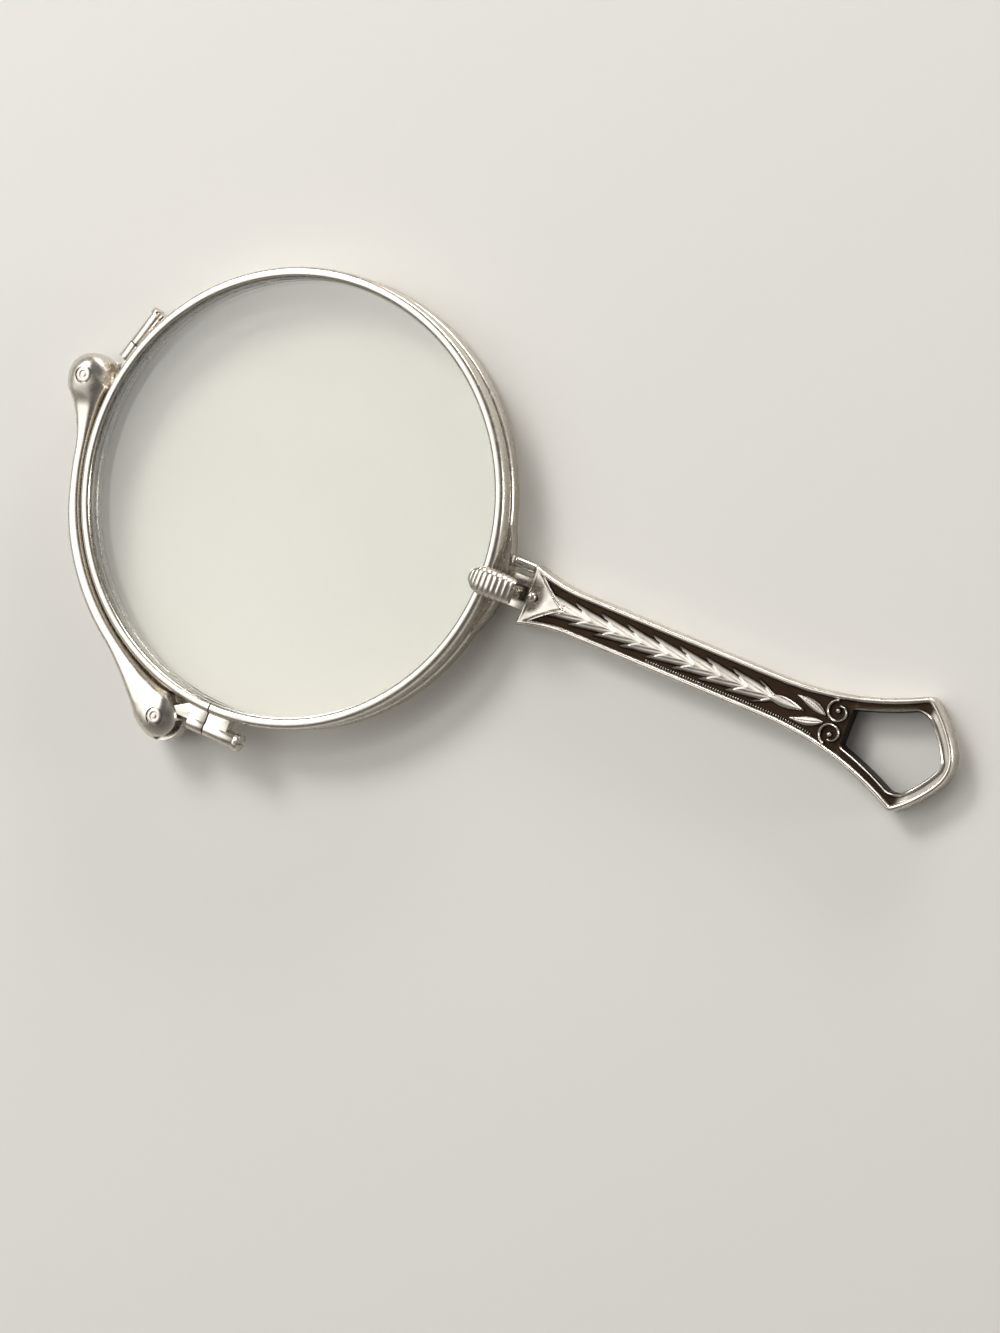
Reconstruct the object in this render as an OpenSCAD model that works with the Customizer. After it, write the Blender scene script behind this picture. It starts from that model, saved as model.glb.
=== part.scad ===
// Folding spring lorgnette, shown folded and lying on its back.
// Origin: under the centre of the two lenses, on the surface it lies on.
// +X runs along the handle, +Z is the way the wearer's view leaves the front lens.

/* [Lenses and eyewires] */
// Clear opening inside each eyewire
aperture_d = 39.4; // [36:0.2:42]
// Width of an eyewire from its opening to its outer edge
rim_w = 0.95; // [0.85:0.05:1.3]
// Depth of an eyewire along the view
rim_depth = 1.9; // [1.7:0.1:2.2]
// Space between the two eyewires when folded
rim_gap = 0.5; // [0.4:0.1:1]
// Bevel on the outer corners of an eyewire
rim_bevel = 0.25; // [0.1:0.05:0.35]
// Depth of the groove that holds the lens
groove_depth = 0.45; // [0.3:0.05:0.5]
// Play between a lens and its groove
lens_play = 0.02; // [0.01:0.01:0.06]
// Thickness of a lens at its middle
lens_centre_t = 2; // [1.4:0.1:2.1]

/* [Closing joints of the eyewires] */
// Angle from a spring hinge to the cut in its eyewire
cut_deg = 11.5; // [11:0.5:14]
// Width of the cut in an eyewire
cut_w = 0.12; // [0.08:0.02:0.2]
// Outside diameter of a closing tube
tube_d = 1.44; // [1.3:0.02:1.6]
// Distance from the lens centre to the axis of a closing tube, past the eyewire
tube_offset = 1.45; // [1.3:0.05:1.6]
// Length of the tube half beside the hinge
near_tube_len = 1.7; // [1.5:0.1:1.9]
// Length of the tube half that takes the screw head
far_tube_len = 3.2; // [2.4:0.1:4]
// Diameter of the closing screw
screw_d = 0.8; // [0.6:0.05:0.9]
// Diameter of the screw head
screw_head_d = 1.7; // [1.5:0.05:1.8]
// Length of the screw head
screw_head_len = 0.55; // [0.4:0.05:0.8]
// Thickness of the foot that a hinge tongue grows from
foot_t = 0.7; // [0.5:0.05:0.8]
// Height of the feet and solder pads along the view
foot_h = 1.1; // [0.9:0.1:1.6]

/* [Spring bridge] */
// Distance from an eyewire's outer edge to its hinge pin
pivot_out = 2.65; // [2.6:0.05:3.2]
// Direction of the hinge on the back eyewire, from the handle
top_deg = 172; // [168:1:175]
// Direction of the hinge on the front eyewire, from the handle
bottom_deg = 258.5; // [256:0.5:262]
// Diameter of a spring knuckle
knuckle_d = 4.4; // [4:0.1:4.6]
// How far a knuckle stands out beyond the eyewires, front and back
knuckle_stand = 0.3; // [0.25:0.05:0.6]
// How much larger a knuckle's dome is than half its height
dome_flat = 0.05; // [0.02:0.01:0.4]
// Thickness of the domed cap that closes a knuckle at the back
cap_t = 0.75; // [0.6:0.05:0.8]
// Width of the bridge bar, seen from the front
bar_w = 1.6; // [1.2:0.1:2]
// Height of the bridge bar along the view
bar_h = 2.9; // [2.4:0.1:3.1]
// Space between the bridge and the eyewires it curves round
bridge_gap = 0.3; // [0.2:0.05:0.4]
// Diameter of a hinge pin
pin_d = 1; // [0.8:0.05:1.1]
// Diameter of the riveted head of a hinge pin
pin_head_d = 1.5; // [1.3:0.1:1.8]
// Diameter of the eye on a hinge tongue
eye_d = 2.6; // [2.2:0.1:2.8]
// Thickness of a hinge tongue
tongue_t = 0.8; // [0.6:0.05:0.9]
// Width of a hinge tongue
tongue_w = 1.4; // [1:0.1:1.6]
// Free angle on each side of a tongue at the ends of its swing
slot_free_deg = 7; // [5:0.5:9]
// Running clearance on each side of a tongue and round a pin
run_gap = 0.04; // [0.03:0.01:0.06]
// Wire diameter of a torsion spring
spring_wire_d = 0.3; // [0.2:0.05:0.35]
// Mean diameter of a torsion spring
spring_d = 2.1; // [1.9:0.1:2.3]
// Turns of a torsion spring
spring_turns = 2.5; // [1.5:0.5:2.5]

/* [Handle] */
// Thickness of the handle
handle_t = 2.4; // [2:0.1:2.4]
// Distance from the eyewire to the mouth of the shield
throat_len = 2.85; // [2.8:0.05:3.2]
// How far the mouth of the shield is hollowed
mouth_hollow = 0.15; // [0.1:0.05:0.3]
// Half width of the shield at its horns
horn_half = 2.85; // [2.6:0.05:3.2]
// Length of the flare that widens the shank into the shield
neck_len = 5; // [4.5:0.1:6]
// Half width of the shank
shank_half = 2; // [1.8:0.05:2.3]
// Distance from the mouth to the start of the loop's flare
flare_at = 23.5; // [21.5:0.5:24.5]
// Distance from the mouth to the side corners of the loop
corner_at = 37.3; // [36.5:0.1:38.5]
// Half width of the loop at its side corners
corner_half = 5.3; // [5:0.1:5.8]
// How sharply the loop flares
flare_power = 2.2; // [1.8:0.1:2.6]
// Length of the handle from the mouth to the tip of the loop
handle_len = 41.5; // [40.5:0.1:42.5]
// Swell of the loop's two end arcs beyond their chord
tip_swell = 0.5; // [0.3:0.05:0.7]
// Width of the loop's band
band_w = 1.35; // [1.1:0.05:1.5]
// Distance from the mouth to the joint of shank and loop
joint_at = 30.9; // [30.5:0.1:31.5]
// Size of the rounding on the handle's edges
edge_r = 0.3; // [0.2:0.05:0.4]

/* [Ornament] */
// Width of the raised border along the shank
border_w = 0.45; // [0.3:0.05:0.6]
// Depth of the sunk ground between the borders
ground_depth = 0.4; // [0.2:0.05:0.5]
// Length of the plain shield, from its horns to its point
shield_len = 3.7; // [3.2:0.1:4.2]
// Pairs of laurel leaves
leaf_pairs = 9; // [5:1:10]
// Distance between pairs of laurel leaves
leaf_pitch = 2.57; // [2.2:0.01:2.6]
// Length of a laurel leaf
leaf_len = 3.4; // [2.4:0.1:3.6]
// Width of a laurel leaf
leaf_w = 0.95; // [0.7:0.05:1.1]
// Angle of a leaf away from the handle's line
leaf_deg = 17; // [12:1:24]
// Distance from the mouth to the base of the first pair of leaves
first_leaf = 5.2; // [4.8:0.1:5.4]
// Distance from the last pair of leaves to the base of the bud
bud_out = 1.6; // [1.2:0.1:2]
// Distance from the loop's joint to the bases of the two side leaves
side_leaf = 1.6; // [1.4:0.1:1.8]
// Distance of the side leaves' bases from the handle's line
side_leaf_y = 0.3; // [0.2:0.05:0.4]
// Diameter of the domed head of the throat rivet
rivet_head_d = 0.9; // [0.7:0.05:1]
// Outer radius of a scroll
scroll_r = 1; // [0.8:0.05:1.1]
// Width of the raised scroll line
scroll_line = 0.3; // [0.2:0.05:0.4]

/* [Saddle and catch] */
// How far the saddle stands out from the eyewire at its middle
saddle_out = 0.7; // [0.5:0.05:0.8]
// Angle from the handle's line to each end of the saddle
saddle_deg = 14.6; // [12:0.2:18]
// Depth of the saddle along the view
saddle_h = 1.5; // [1.2:0.1:1.6]
// Distance from the eyewire to the catch pin
catch_out = 1.8; // [1.75:0.05:1.85]
// Height of the catch pin above the table
catch_z = 1.3; // [1.2:0.05:1.35]
// Diameter of the catch pin
catch_pin_d = 0.6; // [0.5:0.05:0.7]
// Width of the catch lever
lever_w = 1; // [0.8:0.1:1.2]
// Distance from the eyewire to the lever's stem
stem_out = 2.35; // [2.3:0.05:2.4]
// Thickness of the lever's stem
stem_t = 0.45; // [0.4:0.05:0.5]
// Height of the thumb piece's underside above the front eyewire
thumb_lift = 0.3; // [0.2:0.05:0.5]
// Length of the thumb piece along the handle's line
thumb_len = 4.4; // [4:0.1:4.8]
// Width of the thumb piece
thumb_w = 2.6; // [2:0.1:3]
// Height of the thumb piece's dome
thumb_h = 1.3; // [1:0.1:1.6]
// Ribs across the thumb piece
thumb_ribs = 8; // [5:1:10]
// Clearance of the catch tooth over the front eyewire, released
tooth_clear = 0.05; // [0.04:0.01:0.08]
// Thickness of the catch tooth
tooth_t = 0.5; // [0.4:0.05:0.6]

/* [Hidden] */
$fn = 64;
eps = 0.01;

rim_in = aperture_d / 2;
rim_out = rim_in + rim_w;
pivot_r = rim_out + pivot_out;
knuckle_h = 2 * rim_depth + rim_gap + 2 * knuckle_stand;
dome_r = knuckle_h / 2 + dome_flat;
mouth_x = rim_out + throat_len;
neck_x = mouth_x + neck_len;
flare_x = mouth_x + flare_at;
corner_x = mouth_x + corner_at;
tip_x = mouth_x + handle_len;
joint_x = mouth_x + joint_at;
catch_x = rim_out + catch_out;
stem_x = rim_out + stem_out;
saddle_half = rim_out * sin(saddle_deg);
// Longer and wider than any piece, for cuts that pass right through
past = 2 * knuckle_h;
back_z = knuckle_stand;
front_z = back_z + rim_depth + rim_gap;
front_top = front_z + rim_depth;
knuckle_r = knuckle_d / 2;
tube_r = rim_out + tube_offset;
back_tongue_z = back_z + rim_depth / 2 - tongue_t / 2;
front_tongue_z = front_z + rim_depth / 2 - tongue_t / 2;
cup_z = cap_t + eps;
roof_z = knuckle_h - cap_t - 0.05;

// Colours of the real surfaces
silver = [0.80, 0.78, 0.74];
silver_shade = [0.70, 0.68, 0.63];
oxidised = [0.42, 0.38, 0.33];
steel = [0.62, 0.64, 0.66];
glass = [0.82, 0.88, 0.90, 0.45];

// Points on an arc of the given centre and radius
function arc(cx, cy, r, a0, a1, n) =
    [for (i = [0:n]) [cx + r * cos(a0 + (a1 - a0) * i / n), cy + r * sin(a0 + (a1 - a0) * i / n)]];

// Radius of an arc over a chord with the given rise
function rise_radius(chord, rise) = (chord * chord / 4 + rise * rise) / (2 * rise);

// Place children at a hinge, with local +X pointing away from the lens centre
module at_hinge(deg) { rotate([0, 0, deg]) translate([pivot_r, 0, 0]) children(); }

// Mirror children to the back eyewire or leave them on the front one
module on_front() { translate([0, 0, front_z]) rotate([0, 0, bottom_deg]) children(); }
module on_back() { translate([0, 0, back_z]) rotate([0, 0, top_deg]) mirror([0, 1, 0]) children(); }

// Lens: two shallow spherical faces and a bevelled edge
lens_edge_r = rim_in + groove_depth - lens_play;
lens_face_r = rim_in - 0.1;
lens_edge_half = lens_edge_r - lens_face_r;
lens_sag = lens_centre_t / 2 - lens_edge_half;
lens_curve_r = rise_radius(2 * lens_face_r, lens_sag);
function lens_half(r) = lens_edge_half + sqrt(pow(lens_curve_r, 2) - r * r)
                        - sqrt(pow(lens_curve_r, 2) - pow(lens_face_r, 2));
module lens() {
    steps = 14;
    top = [for (i = [0:steps]) [lens_face_r * i / steps, lens_half(lens_face_r * i / steps)]];
    rotate_extrude($fn = 96)
        polygon(concat(top, [[lens_edge_r, 0]],
                       [for (i = [steps:-1:0]) [top[i][0], -top[i][1]]]));
}

// Eyewire: bevelled outside, grooved inside, cut through at its closing joint
module eyewire() {
    mid = rim_depth / 2;
    difference() {
        rotate_extrude($fn = 128)
            polygon([[rim_in + 0.1, 0], [rim_out - rim_bevel, 0], [rim_out, rim_bevel],
                     [rim_out, rim_depth - rim_bevel], [rim_out - rim_bevel, rim_depth],
                     [rim_in + 0.1, rim_depth], [rim_in, rim_depth - 0.15],
                     [rim_in, mid + groove_depth], [rim_in + groove_depth, mid],
                     [rim_in, mid - groove_depth], [rim_in, 0.15]]);
        rotate([0, 0, cut_deg])
            translate([rim_in - rim_w, -cut_w / 2, -rim_depth])
                cube([3 * rim_w, cut_w, 3 * rim_depth]);
    }
}

// Closing tube half with its solder pad, from one place along the tube to another
module tube_form(from, to, pad_to) {
    mid = rim_depth / 2;
    rotate([0, 0, cut_deg]) {
        translate([tube_r, from, mid]) rotate([-90, 0, 0]) cylinder(d = tube_d, h = to - from);
        translate([rim_in, from, mid - foot_h / 2]) cube([tube_r - rim_in, pad_to - from, foot_h]);
    }
}
module tube_cuts(from, to) {
    rotate([0, 0, cut_deg]) translate([tube_r, from - tube_d, rim_depth / 2]) rotate([-90, 0, 0])
        cylinder(d = screw_d + 2 * run_gap, h = to - from + 2 * tube_d);
    translate([0, 0, -rim_depth]) cylinder(r = rim_out, h = 3 * rim_depth, $fn = 128);
}
module closing_tube() {
    difference() {
        tube_form(cut_w / 2, far_tube_len, far_tube_len * 0.7);
        tube_cuts(cut_w / 2, far_tube_len);
    }
}

// Hinge block: tongue and eye, foot on the eyewire and the near tube half
foot_deg = 5;
module hinge_block() {
    mid = rim_depth / 2;
    difference() {
        union() {
            tube_form(-near_tube_len, -cut_w / 2, -cut_w / 2);
            translate([0, 0, mid - tongue_t / 2]) linear_extrude(tongue_t) union() {
                translate([pivot_r, 0]) circle(d = eye_d);
                polygon(tongue_outline());
            }
            translate([0, 0, mid - foot_h / 2]) linear_extrude(foot_h)
                polygon(concat(arc(0, 0, rim_out + foot_t, foot_deg + 1.5, cut_deg - 1, 6), [[0, 0]]));
        }
        tube_cuts(-near_tube_len, -cut_w / 2);
        translate([pivot_r, 0, -rim_depth]) cylinder(d = pin_d + 2 * run_gap, h = 3 * rim_depth);
    }
}

// The tongue runs from the eye to the foot; these are its four corners
foot = (rim_out + foot_t / 2) * [cos(foot_deg + 2.5), sin(foot_deg + 2.5)];
tongue_deg = atan2(foot[1], foot[0] - pivot_r);
function tongue_outline() = let(
    eye = [pivot_r, 0],
    run = foot - eye,
    side = [-run[1], run[0]] / norm(run) * tongue_w / 2)
    [eye + side, foot + side, foot - side, eye - side];

// Closing screw, its slotted head beyond the far tube half
module closing_screw() {
    mid = rim_depth / 2;
    head_y = far_tube_len;
    rotate([0, 0, cut_deg]) translate([tube_r, 0, mid]) difference() {
        union() {
            translate([0, -near_tube_len + 0.1, 0]) rotate([-90, 0, 0])
                cylinder(d = screw_d, h = head_y + near_tube_len);
            translate([0, head_y, 0]) rotate([-90, 0, 0])
                cylinder(d = screw_head_d, h = screw_head_len);
        }
        translate([-screw_head_d / 12, head_y + screw_head_len / 2, -screw_head_d])
            cube([screw_head_d / 6, screw_head_len, 2 * screw_head_d]);
    }
}

// Domed knuckle of the bridge
head_t = 0.5;
module knuckle_form() {
    translate([0, 0, knuckle_h / 2]) intersection() {
        sphere(r = dome_r);
        cylinder(r = knuckle_r, h = knuckle_h, center = true);
    }
}

// Slot of a knuckle: open over the tongue's whole swing
// The tongue starts at slot_from and turns by swing_deg against the knuckle
slot_margin = asin(tongue_w / 2 / knuckle_r) + slot_free_deg;
swing_deg = bottom_deg - top_deg;
module knuckle_slot(z0, z1, from, to) {
    translate([0, 0, z0]) linear_extrude(z1 - z0)
        polygon(concat([[0, 0]], arc(0, 0, 2 * knuckle_r, from - slot_margin, to + slot_margin, 12)));
}

// Directions, in the hinge's own frame, in which each tongue leaves its knuckle
top_from = -tongue_deg;
top_to = -tongue_deg + swing_deg;
bottom_from = tongue_deg - swing_deg;
bottom_to = tongue_deg;

// Bridge bar with the two knuckle cups
bar_z = knuckle_h / 2 - bar_h / 2;
bar_mid_r = rim_out + bridge_gap + bar_w / 2;
top_taper_deg = 10;
bottom_taper_deg = 17;
module bar_profile() {
    w = bar_w / 2;
    translate([bar_mid_r, 0]) {
        translate([0, bar_z + w]) circle(r = w);
        translate([0, bar_z + bar_h - w]) circle(r = w);
        translate([-w, bar_z + w]) square([bar_w, bar_h - bar_w]);
    }
}
module bar_end_slice(deg) {
    rotate([0, 0, deg]) translate([bar_mid_r, 0, bar_z])
        cylinder(r = bar_w / 2, h = bar_h, $fn = 32);
}
module bar_end(knuckle_deg, slice_deg) {
    hull() {
        bar_end_slice(slice_deg);
        at_hinge(knuckle_deg) translate([0, 0, bar_z - eps])
            cylinder(r = knuckle_r - 0.35, h = bar_h + 2 * eps, $fn = 32);
    }
}
module bridge_bar() {
    color(silver) difference() {
        union() {
            rotate([0, 0, top_deg + top_taper_deg])
                rotate_extrude(angle = swing_deg - top_taper_deg - bottom_taper_deg, $fn = 160)
                    bar_profile();
            bar_end(top_deg, top_deg + top_taper_deg);
            bar_end(bottom_deg, bottom_deg - bottom_taper_deg);
            at_hinge(top_deg) cup_form();
            at_hinge(bottom_deg) cup_form();
        }
        translate([0, 0, -knuckle_h])
            cylinder(r = rim_out + bridge_gap - 0.05, h = 3 * knuckle_h, $fn = 160);
        at_hinge(top_deg) cup_cuts(0, back_tongue_z + tongue_t + run_gap, top_from, top_to);
        at_hinge(bottom_deg) cup_cuts(front_tongue_z - run_gap, front_tongue_z + tongue_t + run_gap,
                                      bottom_from, bottom_to);
    }
}
module cup_form() {
    difference() {
        knuckle_form();
        translate([0, 0, -knuckle_h]) cylinder(r = past, h = knuckle_h + cup_z);
    }
}
module cup_cuts(z0, z1, from, to) {
    knuckle_slot(z0, z1, from, to);
    cylinder(d = spring_d + spring_wire_d + 0.6, h = roof_z);
    cylinder(d = pin_d + 2 * eps, h = knuckle_h);
    translate([0, 0, knuckle_h - head_t]) cylinder(d = pin_head_d + 0.1, h = knuckle_h);
}

// Domed cap that closes a knuckle from the back
module knuckle_cap() {
    difference() {
        intersection() {
            knuckle_form();
            cylinder(r = past, h = cap_t);
        }
        translate([0, 0, -cap_t]) cylinder(d = pin_d + 2 * eps, h = 3 * cap_t);
        translate([0, 0, -cap_t]) cylinder(d = pin_head_d + 0.1, h = cap_t + head_t);
    }
}

// Hinge pin, riveted over at both ends, with the ring and dot of its front head
module pivot_pin() {
    difference() {
        intersection() {
            knuckle_form();
            union() {
                translate([0, 0, head_t / 2]) cylinder(d = pin_d, h = knuckle_h - head_t);
                cylinder(d = pin_head_d, h = head_t - eps);
                translate([0, 0, knuckle_h - head_t + eps]) cylinder(d = pin_head_d, h = head_t);
            }
        }
        translate([0, 0, knuckle_h - head_t / 4]) difference() {
            cylinder(d = pin_head_d * 0.55, h = head_t);
            translate([0, 0, -head_t]) cylinder(d = pin_head_d * 0.25, h = 3 * head_t);
        }
    }
}

// Torsion spring: a helix of round wire wound about the pin
spring_pitch = spring_wire_d + 0.42;
module torsion_spring() {
    sides = 8;
    per_turn = 16;
    rings = round(spring_turns * per_turn);
    R = spring_d / 2;
    r = spring_wire_d / 2;
    points = [for (i = [0:rings]) for (j = [0:sides - 1])
        let(a = 360 * i / per_turn, b = 360 * j / sides, q = R + r * cos(b))
        [q * cos(a), q * sin(a), r + spring_pitch * i / per_turn + r * sin(b)]];
    walls = [for (i = [0:rings - 1]) for (j = [0:sides - 1])
        let(a = i * sides + j, b = i * sides + (j + 1) % sides)
        each [[a, b, b + sides], [a, b + sides, a + sides]]];
    first = [for (j = [1:sides - 2]) [0, j + 1, j]];
    last = [for (j = [1:sides - 2]) [rings * sides, rings * sides + j, rings * sides + j + 1]];
    polyhedron(points = points, faces = concat(walls, first, last), convexity = 6);
}

// Half width of the handle at a place along it
function side_half(x) =
    x < neck_x ? shank_half + (horn_half - shank_half) * pow((neck_x - x) / (neck_x - mouth_x), 2) :
    x < flare_x ? shank_half :
    shank_half + (corner_half - shank_half) * pow((x - flare_x) / (corner_x - flare_x), flare_power);

// Outline of the shank and shield, drawn in by a given amount
function shank_side(inset, x0, x1, n) =
    [for (i = [0:n]) let(x = x0 + (x1 - x0) * i / n) [x, side_half(x) - inset]];
function mirrored(points) = [for (i = [len(points) - 1:-1:0]) [points[i][0], -points[i][1]]];
function mouth(inset) = let(
    half = side_half(mouth_x) - inset,
    r = rise_radius(2 * half, mouth_hollow),
    a = asin(half / r))
    arc(mouth_x + inset + mouth_hollow - r, 0, r, -a, a, 8);
module shank_outline(inset) {
    x0 = mouth_x + inset + 0.05;
    side = concat(shank_side(inset, x0, neck_x, 8), shank_side(inset, neck_x + 1, joint_x, 16));
    polygon(concat(side, mirrored(side), mouth(inset)));
}
module scroll_discs(r) {
    for (s = [-1, 1]) translate([joint_x - 0.7, s * (scroll_r + 0.1)]) circle(r = r);
}

// One laurel leaf, pointed at both ends, lying along -X from its stem
leaf_r = rise_radius(leaf_len, leaf_w / 2);
module leaf() {
    translate([-leaf_len / 2, 0]) intersection() {
        translate([0, leaf_r - leaf_w / 2]) circle(r = leaf_r, $fn = 96);
        translate([0, leaf_w / 2 - leaf_r]) circle(r = leaf_r, $fn = 96);
    }
}

// Ground: the sunk field between the borders, round the plain shield
shield_x0 = mouth_x + 0.35;
function shield_half(x) = (horn_half - border_w) * pow((shield_x0 + shield_len - x) / shield_len, 1.3);
module ground_field(inset) {
    side = concat(shank_side(border_w + inset, shield_x0, neck_x, 8),
                  shank_side(border_w + inset, neck_x + 1, joint_x - 1, 14));
    shield = [for (i = [0:8]) let(x = shield_x0 + shield_len * i / 8) [x, shield_half(x) + inset]];
    difference() {
        polygon(concat(side, mirrored(side)));
        polygon(concat([[shield_x0 - 1, horn_half]], shield, mirrored(shield),
                       [[shield_x0 - 1, -horn_half]]));
    }
}

// Laurel: pairs of leaves along the shank, a bud and two leaves before the scrolls
leaf_x0 = mouth_x + first_leaf;
leaf_side = 0.1;
bud_x = leaf_x0 + leaf_pitch * (leaf_pairs - 1) + bud_out;
module laurel() {
    for (i = [0:leaf_pairs - 1]) for (s = [-1, 1])
        translate([leaf_x0 + leaf_pitch * i, s * leaf_side]) rotate([0, 0, -s * leaf_deg]) leaf();
    translate([bud_x, 0]) leaf();
    for (s = [-1, 1])
        translate([joint_x - side_leaf, s * side_leaf_y]) rotate([0, 0, -s * leaf_deg * 0.85]) leaf();
}

// Handle shell: half the handle's thickness, with border, leaves and scrolls
shell_t = handle_t / 2;
module handle_shell() {
    ground = shell_t - ground_depth;
    difference() {
        union() {
            linear_extrude(shell_t - edge_r) shank_outline(0);
            linear_extrude(shell_t - edge_r * 0.4) shank_outline(edge_r * 0.3);
            linear_extrude(shell_t) shank_outline(edge_r * 0.8);
        }
        translate([0, 0, ground]) linear_extrude(handle_t) ground_field(0);
        translate([0, 0, -handle_t]) linear_extrude(3 * handle_t) scroll_discs(scroll_r - eps);
        translate([rivet_x, 0, -handle_t]) cylinder(d = rivet_head_d / 2 + 2 * eps, h = 3 * handle_t);
    }
    translate([0, 0, ground - 0.1]) linear_extrude(ground_depth + 0.05) intersection() {
        laurel();
        ground_field(-0.02);
    }
    for (s = [-1, 1]) translate([joint_x - 0.7, s * (scroll_r + 0.1), 0]) scroll(s);
}

// Scroll: a disc with a raised line that turns in to a centre eye
module scroll(s) {
    ground = shell_t - ground_depth;
    cylinder(r = scroll_r, h = ground);
    linear_extrude(shell_t) difference() {
        circle(r = scroll_r);
        circle(r = scroll_r - scroll_line);
        rotate([0, 0, -s * 60]) translate([0, -s * scroll_line]) square([scroll_r * 2, scroll_line * 1.6]);
    }
    linear_extrude(shell_t) translate([0, s * 0.1]) circle(r = scroll_line);
}

// Loop at the end of the handle: five-sided, with hollow flanks and a soft point
tip_chord = norm([tip_x - corner_x, corner_half]);
tip_r = rise_radius(tip_chord, tip_swell);
function tip_arc(inset) = let(
    dir = atan2(-corner_half, tip_x - corner_x),
    mid = [(tip_x + corner_x) / 2, corner_half / 2],
    back = tip_r - tip_swell,
    c = mid - back * [cos(dir + 90), sin(dir + 90)],
    spread = asin(tip_chord / 2 / tip_r))
    arc(c[0], c[1], tip_r - inset, dir + 90 + spread, dir + 90 - spread, 8);
function loop_half(inset) = concat(
    [for (i = [0:9]) let(x = joint_x + (corner_x - inset * 0.35 - joint_x) * i / 9)
        [x, side_half(x) - inset * 1.12]],
    [for (p = tip_arc(inset)) if (p[0] > corner_x - inset * 0.3 && p[1] > 0) p]);
module loop_form(inset) {
    half = loop_half(inset);
    polygon(concat(half, mirrored(half)));
}
module loop_opening() {
    inner_x = joint_x + 0.3;
    half = concat([[inner_x, 0.7]],
        [for (i = [3:9]) let(x = joint_x + (corner_x - 0.4 - joint_x) * i / 9) [x, side_half(x) - band_w]],
        [for (p = tip_arc(band_w * 0.93)) if (p[0] > corner_x + 0.1 && p[1] > 0.1) p]);
    polygon(concat(half, mirrored(half)));
}
module handle_loop() {
    color(silver) difference() {
        union() {
            translate([0, 0, edge_r]) linear_extrude(handle_t - 2 * edge_r) loop_form(0);
            translate([0, 0, edge_r * 0.4]) linear_extrude(handle_t - edge_r * 0.8)
                loop_form(edge_r * 0.3);
            linear_extrude(handle_t) loop_form(edge_r * 0.8);
        }
        translate([0, 0, -handle_t]) linear_extrude(3 * handle_t) {
            loop_opening();
            scroll_discs(scroll_r + 0.02);
            translate([joint_x - corner_half, -corner_half]) square([corner_half + eps, 2 * corner_half]);
        }
    }
}

// Saddle: crescent soldered round the back eyewire, carrying the handle
saddle_reach = rim_out + saddle_out;
saddle_tip = saddle_reach - rim_out * cos(saddle_deg);
saddle_r = (pow(saddle_tip, 2) + pow(saddle_half, 2)) / (2 * saddle_tip);
module saddle_form() {
    translate([saddle_reach - saddle_r, 0, back_z + rim_depth - saddle_h + 0.1])
        cylinder(r = saddle_r, h = saddle_h, $fn = 96);
}
module eyewire_space() {
    translate([0, 0, -knuckle_h]) cylinder(r = rim_out, h = 3 * knuckle_h, $fn = 128);
}
module saddle() {
    color(silver) difference() {
        intersection() {
            saddle_form();
            translate([saddle_reach - 2 * saddle_tip, -saddle_half, 0])
                cube([3 * saddle_tip, 2 * saddle_half, knuckle_h]);
        }
        eyewire_space();
    }
}

// Throat block: two cheeks that join the saddle to the shield and hold the catch pin
cheek_t = 0.8;
cheek_gap = 0.15;
cheek_z = edge_r + 0.05;
web_t = 0.15;
module throat_block() {
    start = rim_out + saddle_out / 2;
    length = mouth_x + mouth_hollow + eps - start;
    slot_half = lever_w / 2 + cheek_gap;
    color(silver_shade) difference() {
        union() {
            translate([start, -slot_half - cheek_t, cheek_z])
                cube([length, cheek_t, handle_t - 2 * cheek_z]);
            translate([start, slot_half, cheek_z]) cube([length, cheek_t, handle_t - 2 * cheek_z]);
            translate([start, -slot_half - eps, cheek_z]) cube([length, 2 * slot_half + 2 * eps, web_t]);
        }
        translate([0, 0, -handle_t]) linear_extrude(3 * handle_t) shank_outline(0);
        translate([catch_x, -slot_half - 2 * cheek_t, catch_z]) rotate([-90, 0, 0])
            cylinder(d = catch_pin_d + 2 * eps, h = 2 * slot_half + 4 * cheek_t);
        eyewire_space();
        saddle_form();
    }
}

// Stop arm: square-ended rod from the shield's upper horn to the saddle
arm_block = [1, 1, 1.3];
arm_d = 0.9;
arm_y = horn_half - arm_d / 2 - 0.05;
module stop_arm() {
    z = handle_t - arm_block[2] - 0.1;
    color(silver) difference() {
        union() {
            translate([rim_out - 0.1, arm_y - arm_block[1] / 2, z]) cube(arm_block);
            translate([rim_out + 0.5, arm_y, z + arm_block[2] / 2]) rotate([0, 90, 0])
                cylinder(d = arm_d, h = mouth_x - rim_out - 0.5);
        }
        eyewire_space();
        saddle_form();
    }
}

// Throat rivet: domed on the shield's front, flush at its back
rivet_x = mouth_x + mouth_hollow + 0.6;
module throat_rivet() {
    r = rivet_head_d / 2;
    color(silver_shade) translate([rivet_x, 0, 0]) {
        cylinder(r = r / 2, h = handle_t);
        translate([0, 0, handle_t]) intersection() {
            sphere(r = r);
            cylinder(r = r + eps, h = r);
        }
    }
}

module catch_pin() {
    half = lever_w / 2 + cheek_gap + cheek_t;
    color(steel) translate([catch_x, -half, catch_z]) rotate([-90, 0, 0])
        cylinder(d = catch_pin_d, h = 2 * half);
}

// Catch spring: a leaf in the throat that the lever's heel presses on
module catch_spring() {
    w = lever_w - 0.2;
    z = cheek_z + web_t;
    x0 = rim_out + saddle_out + 0.1;
    x1 = catch_x + lever_boss - 0.05;
    color(steel) translate([0, w / 2, 0]) rotate([90, 0, 0]) linear_extrude(w)
        polygon([[x0, z], [x0 + 0.4, z], [x1, z + 0.14], [x1, z + 0.24], [x0 + 0.4, z + 0.1], [x0, z + 0.1]]);
}

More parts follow.
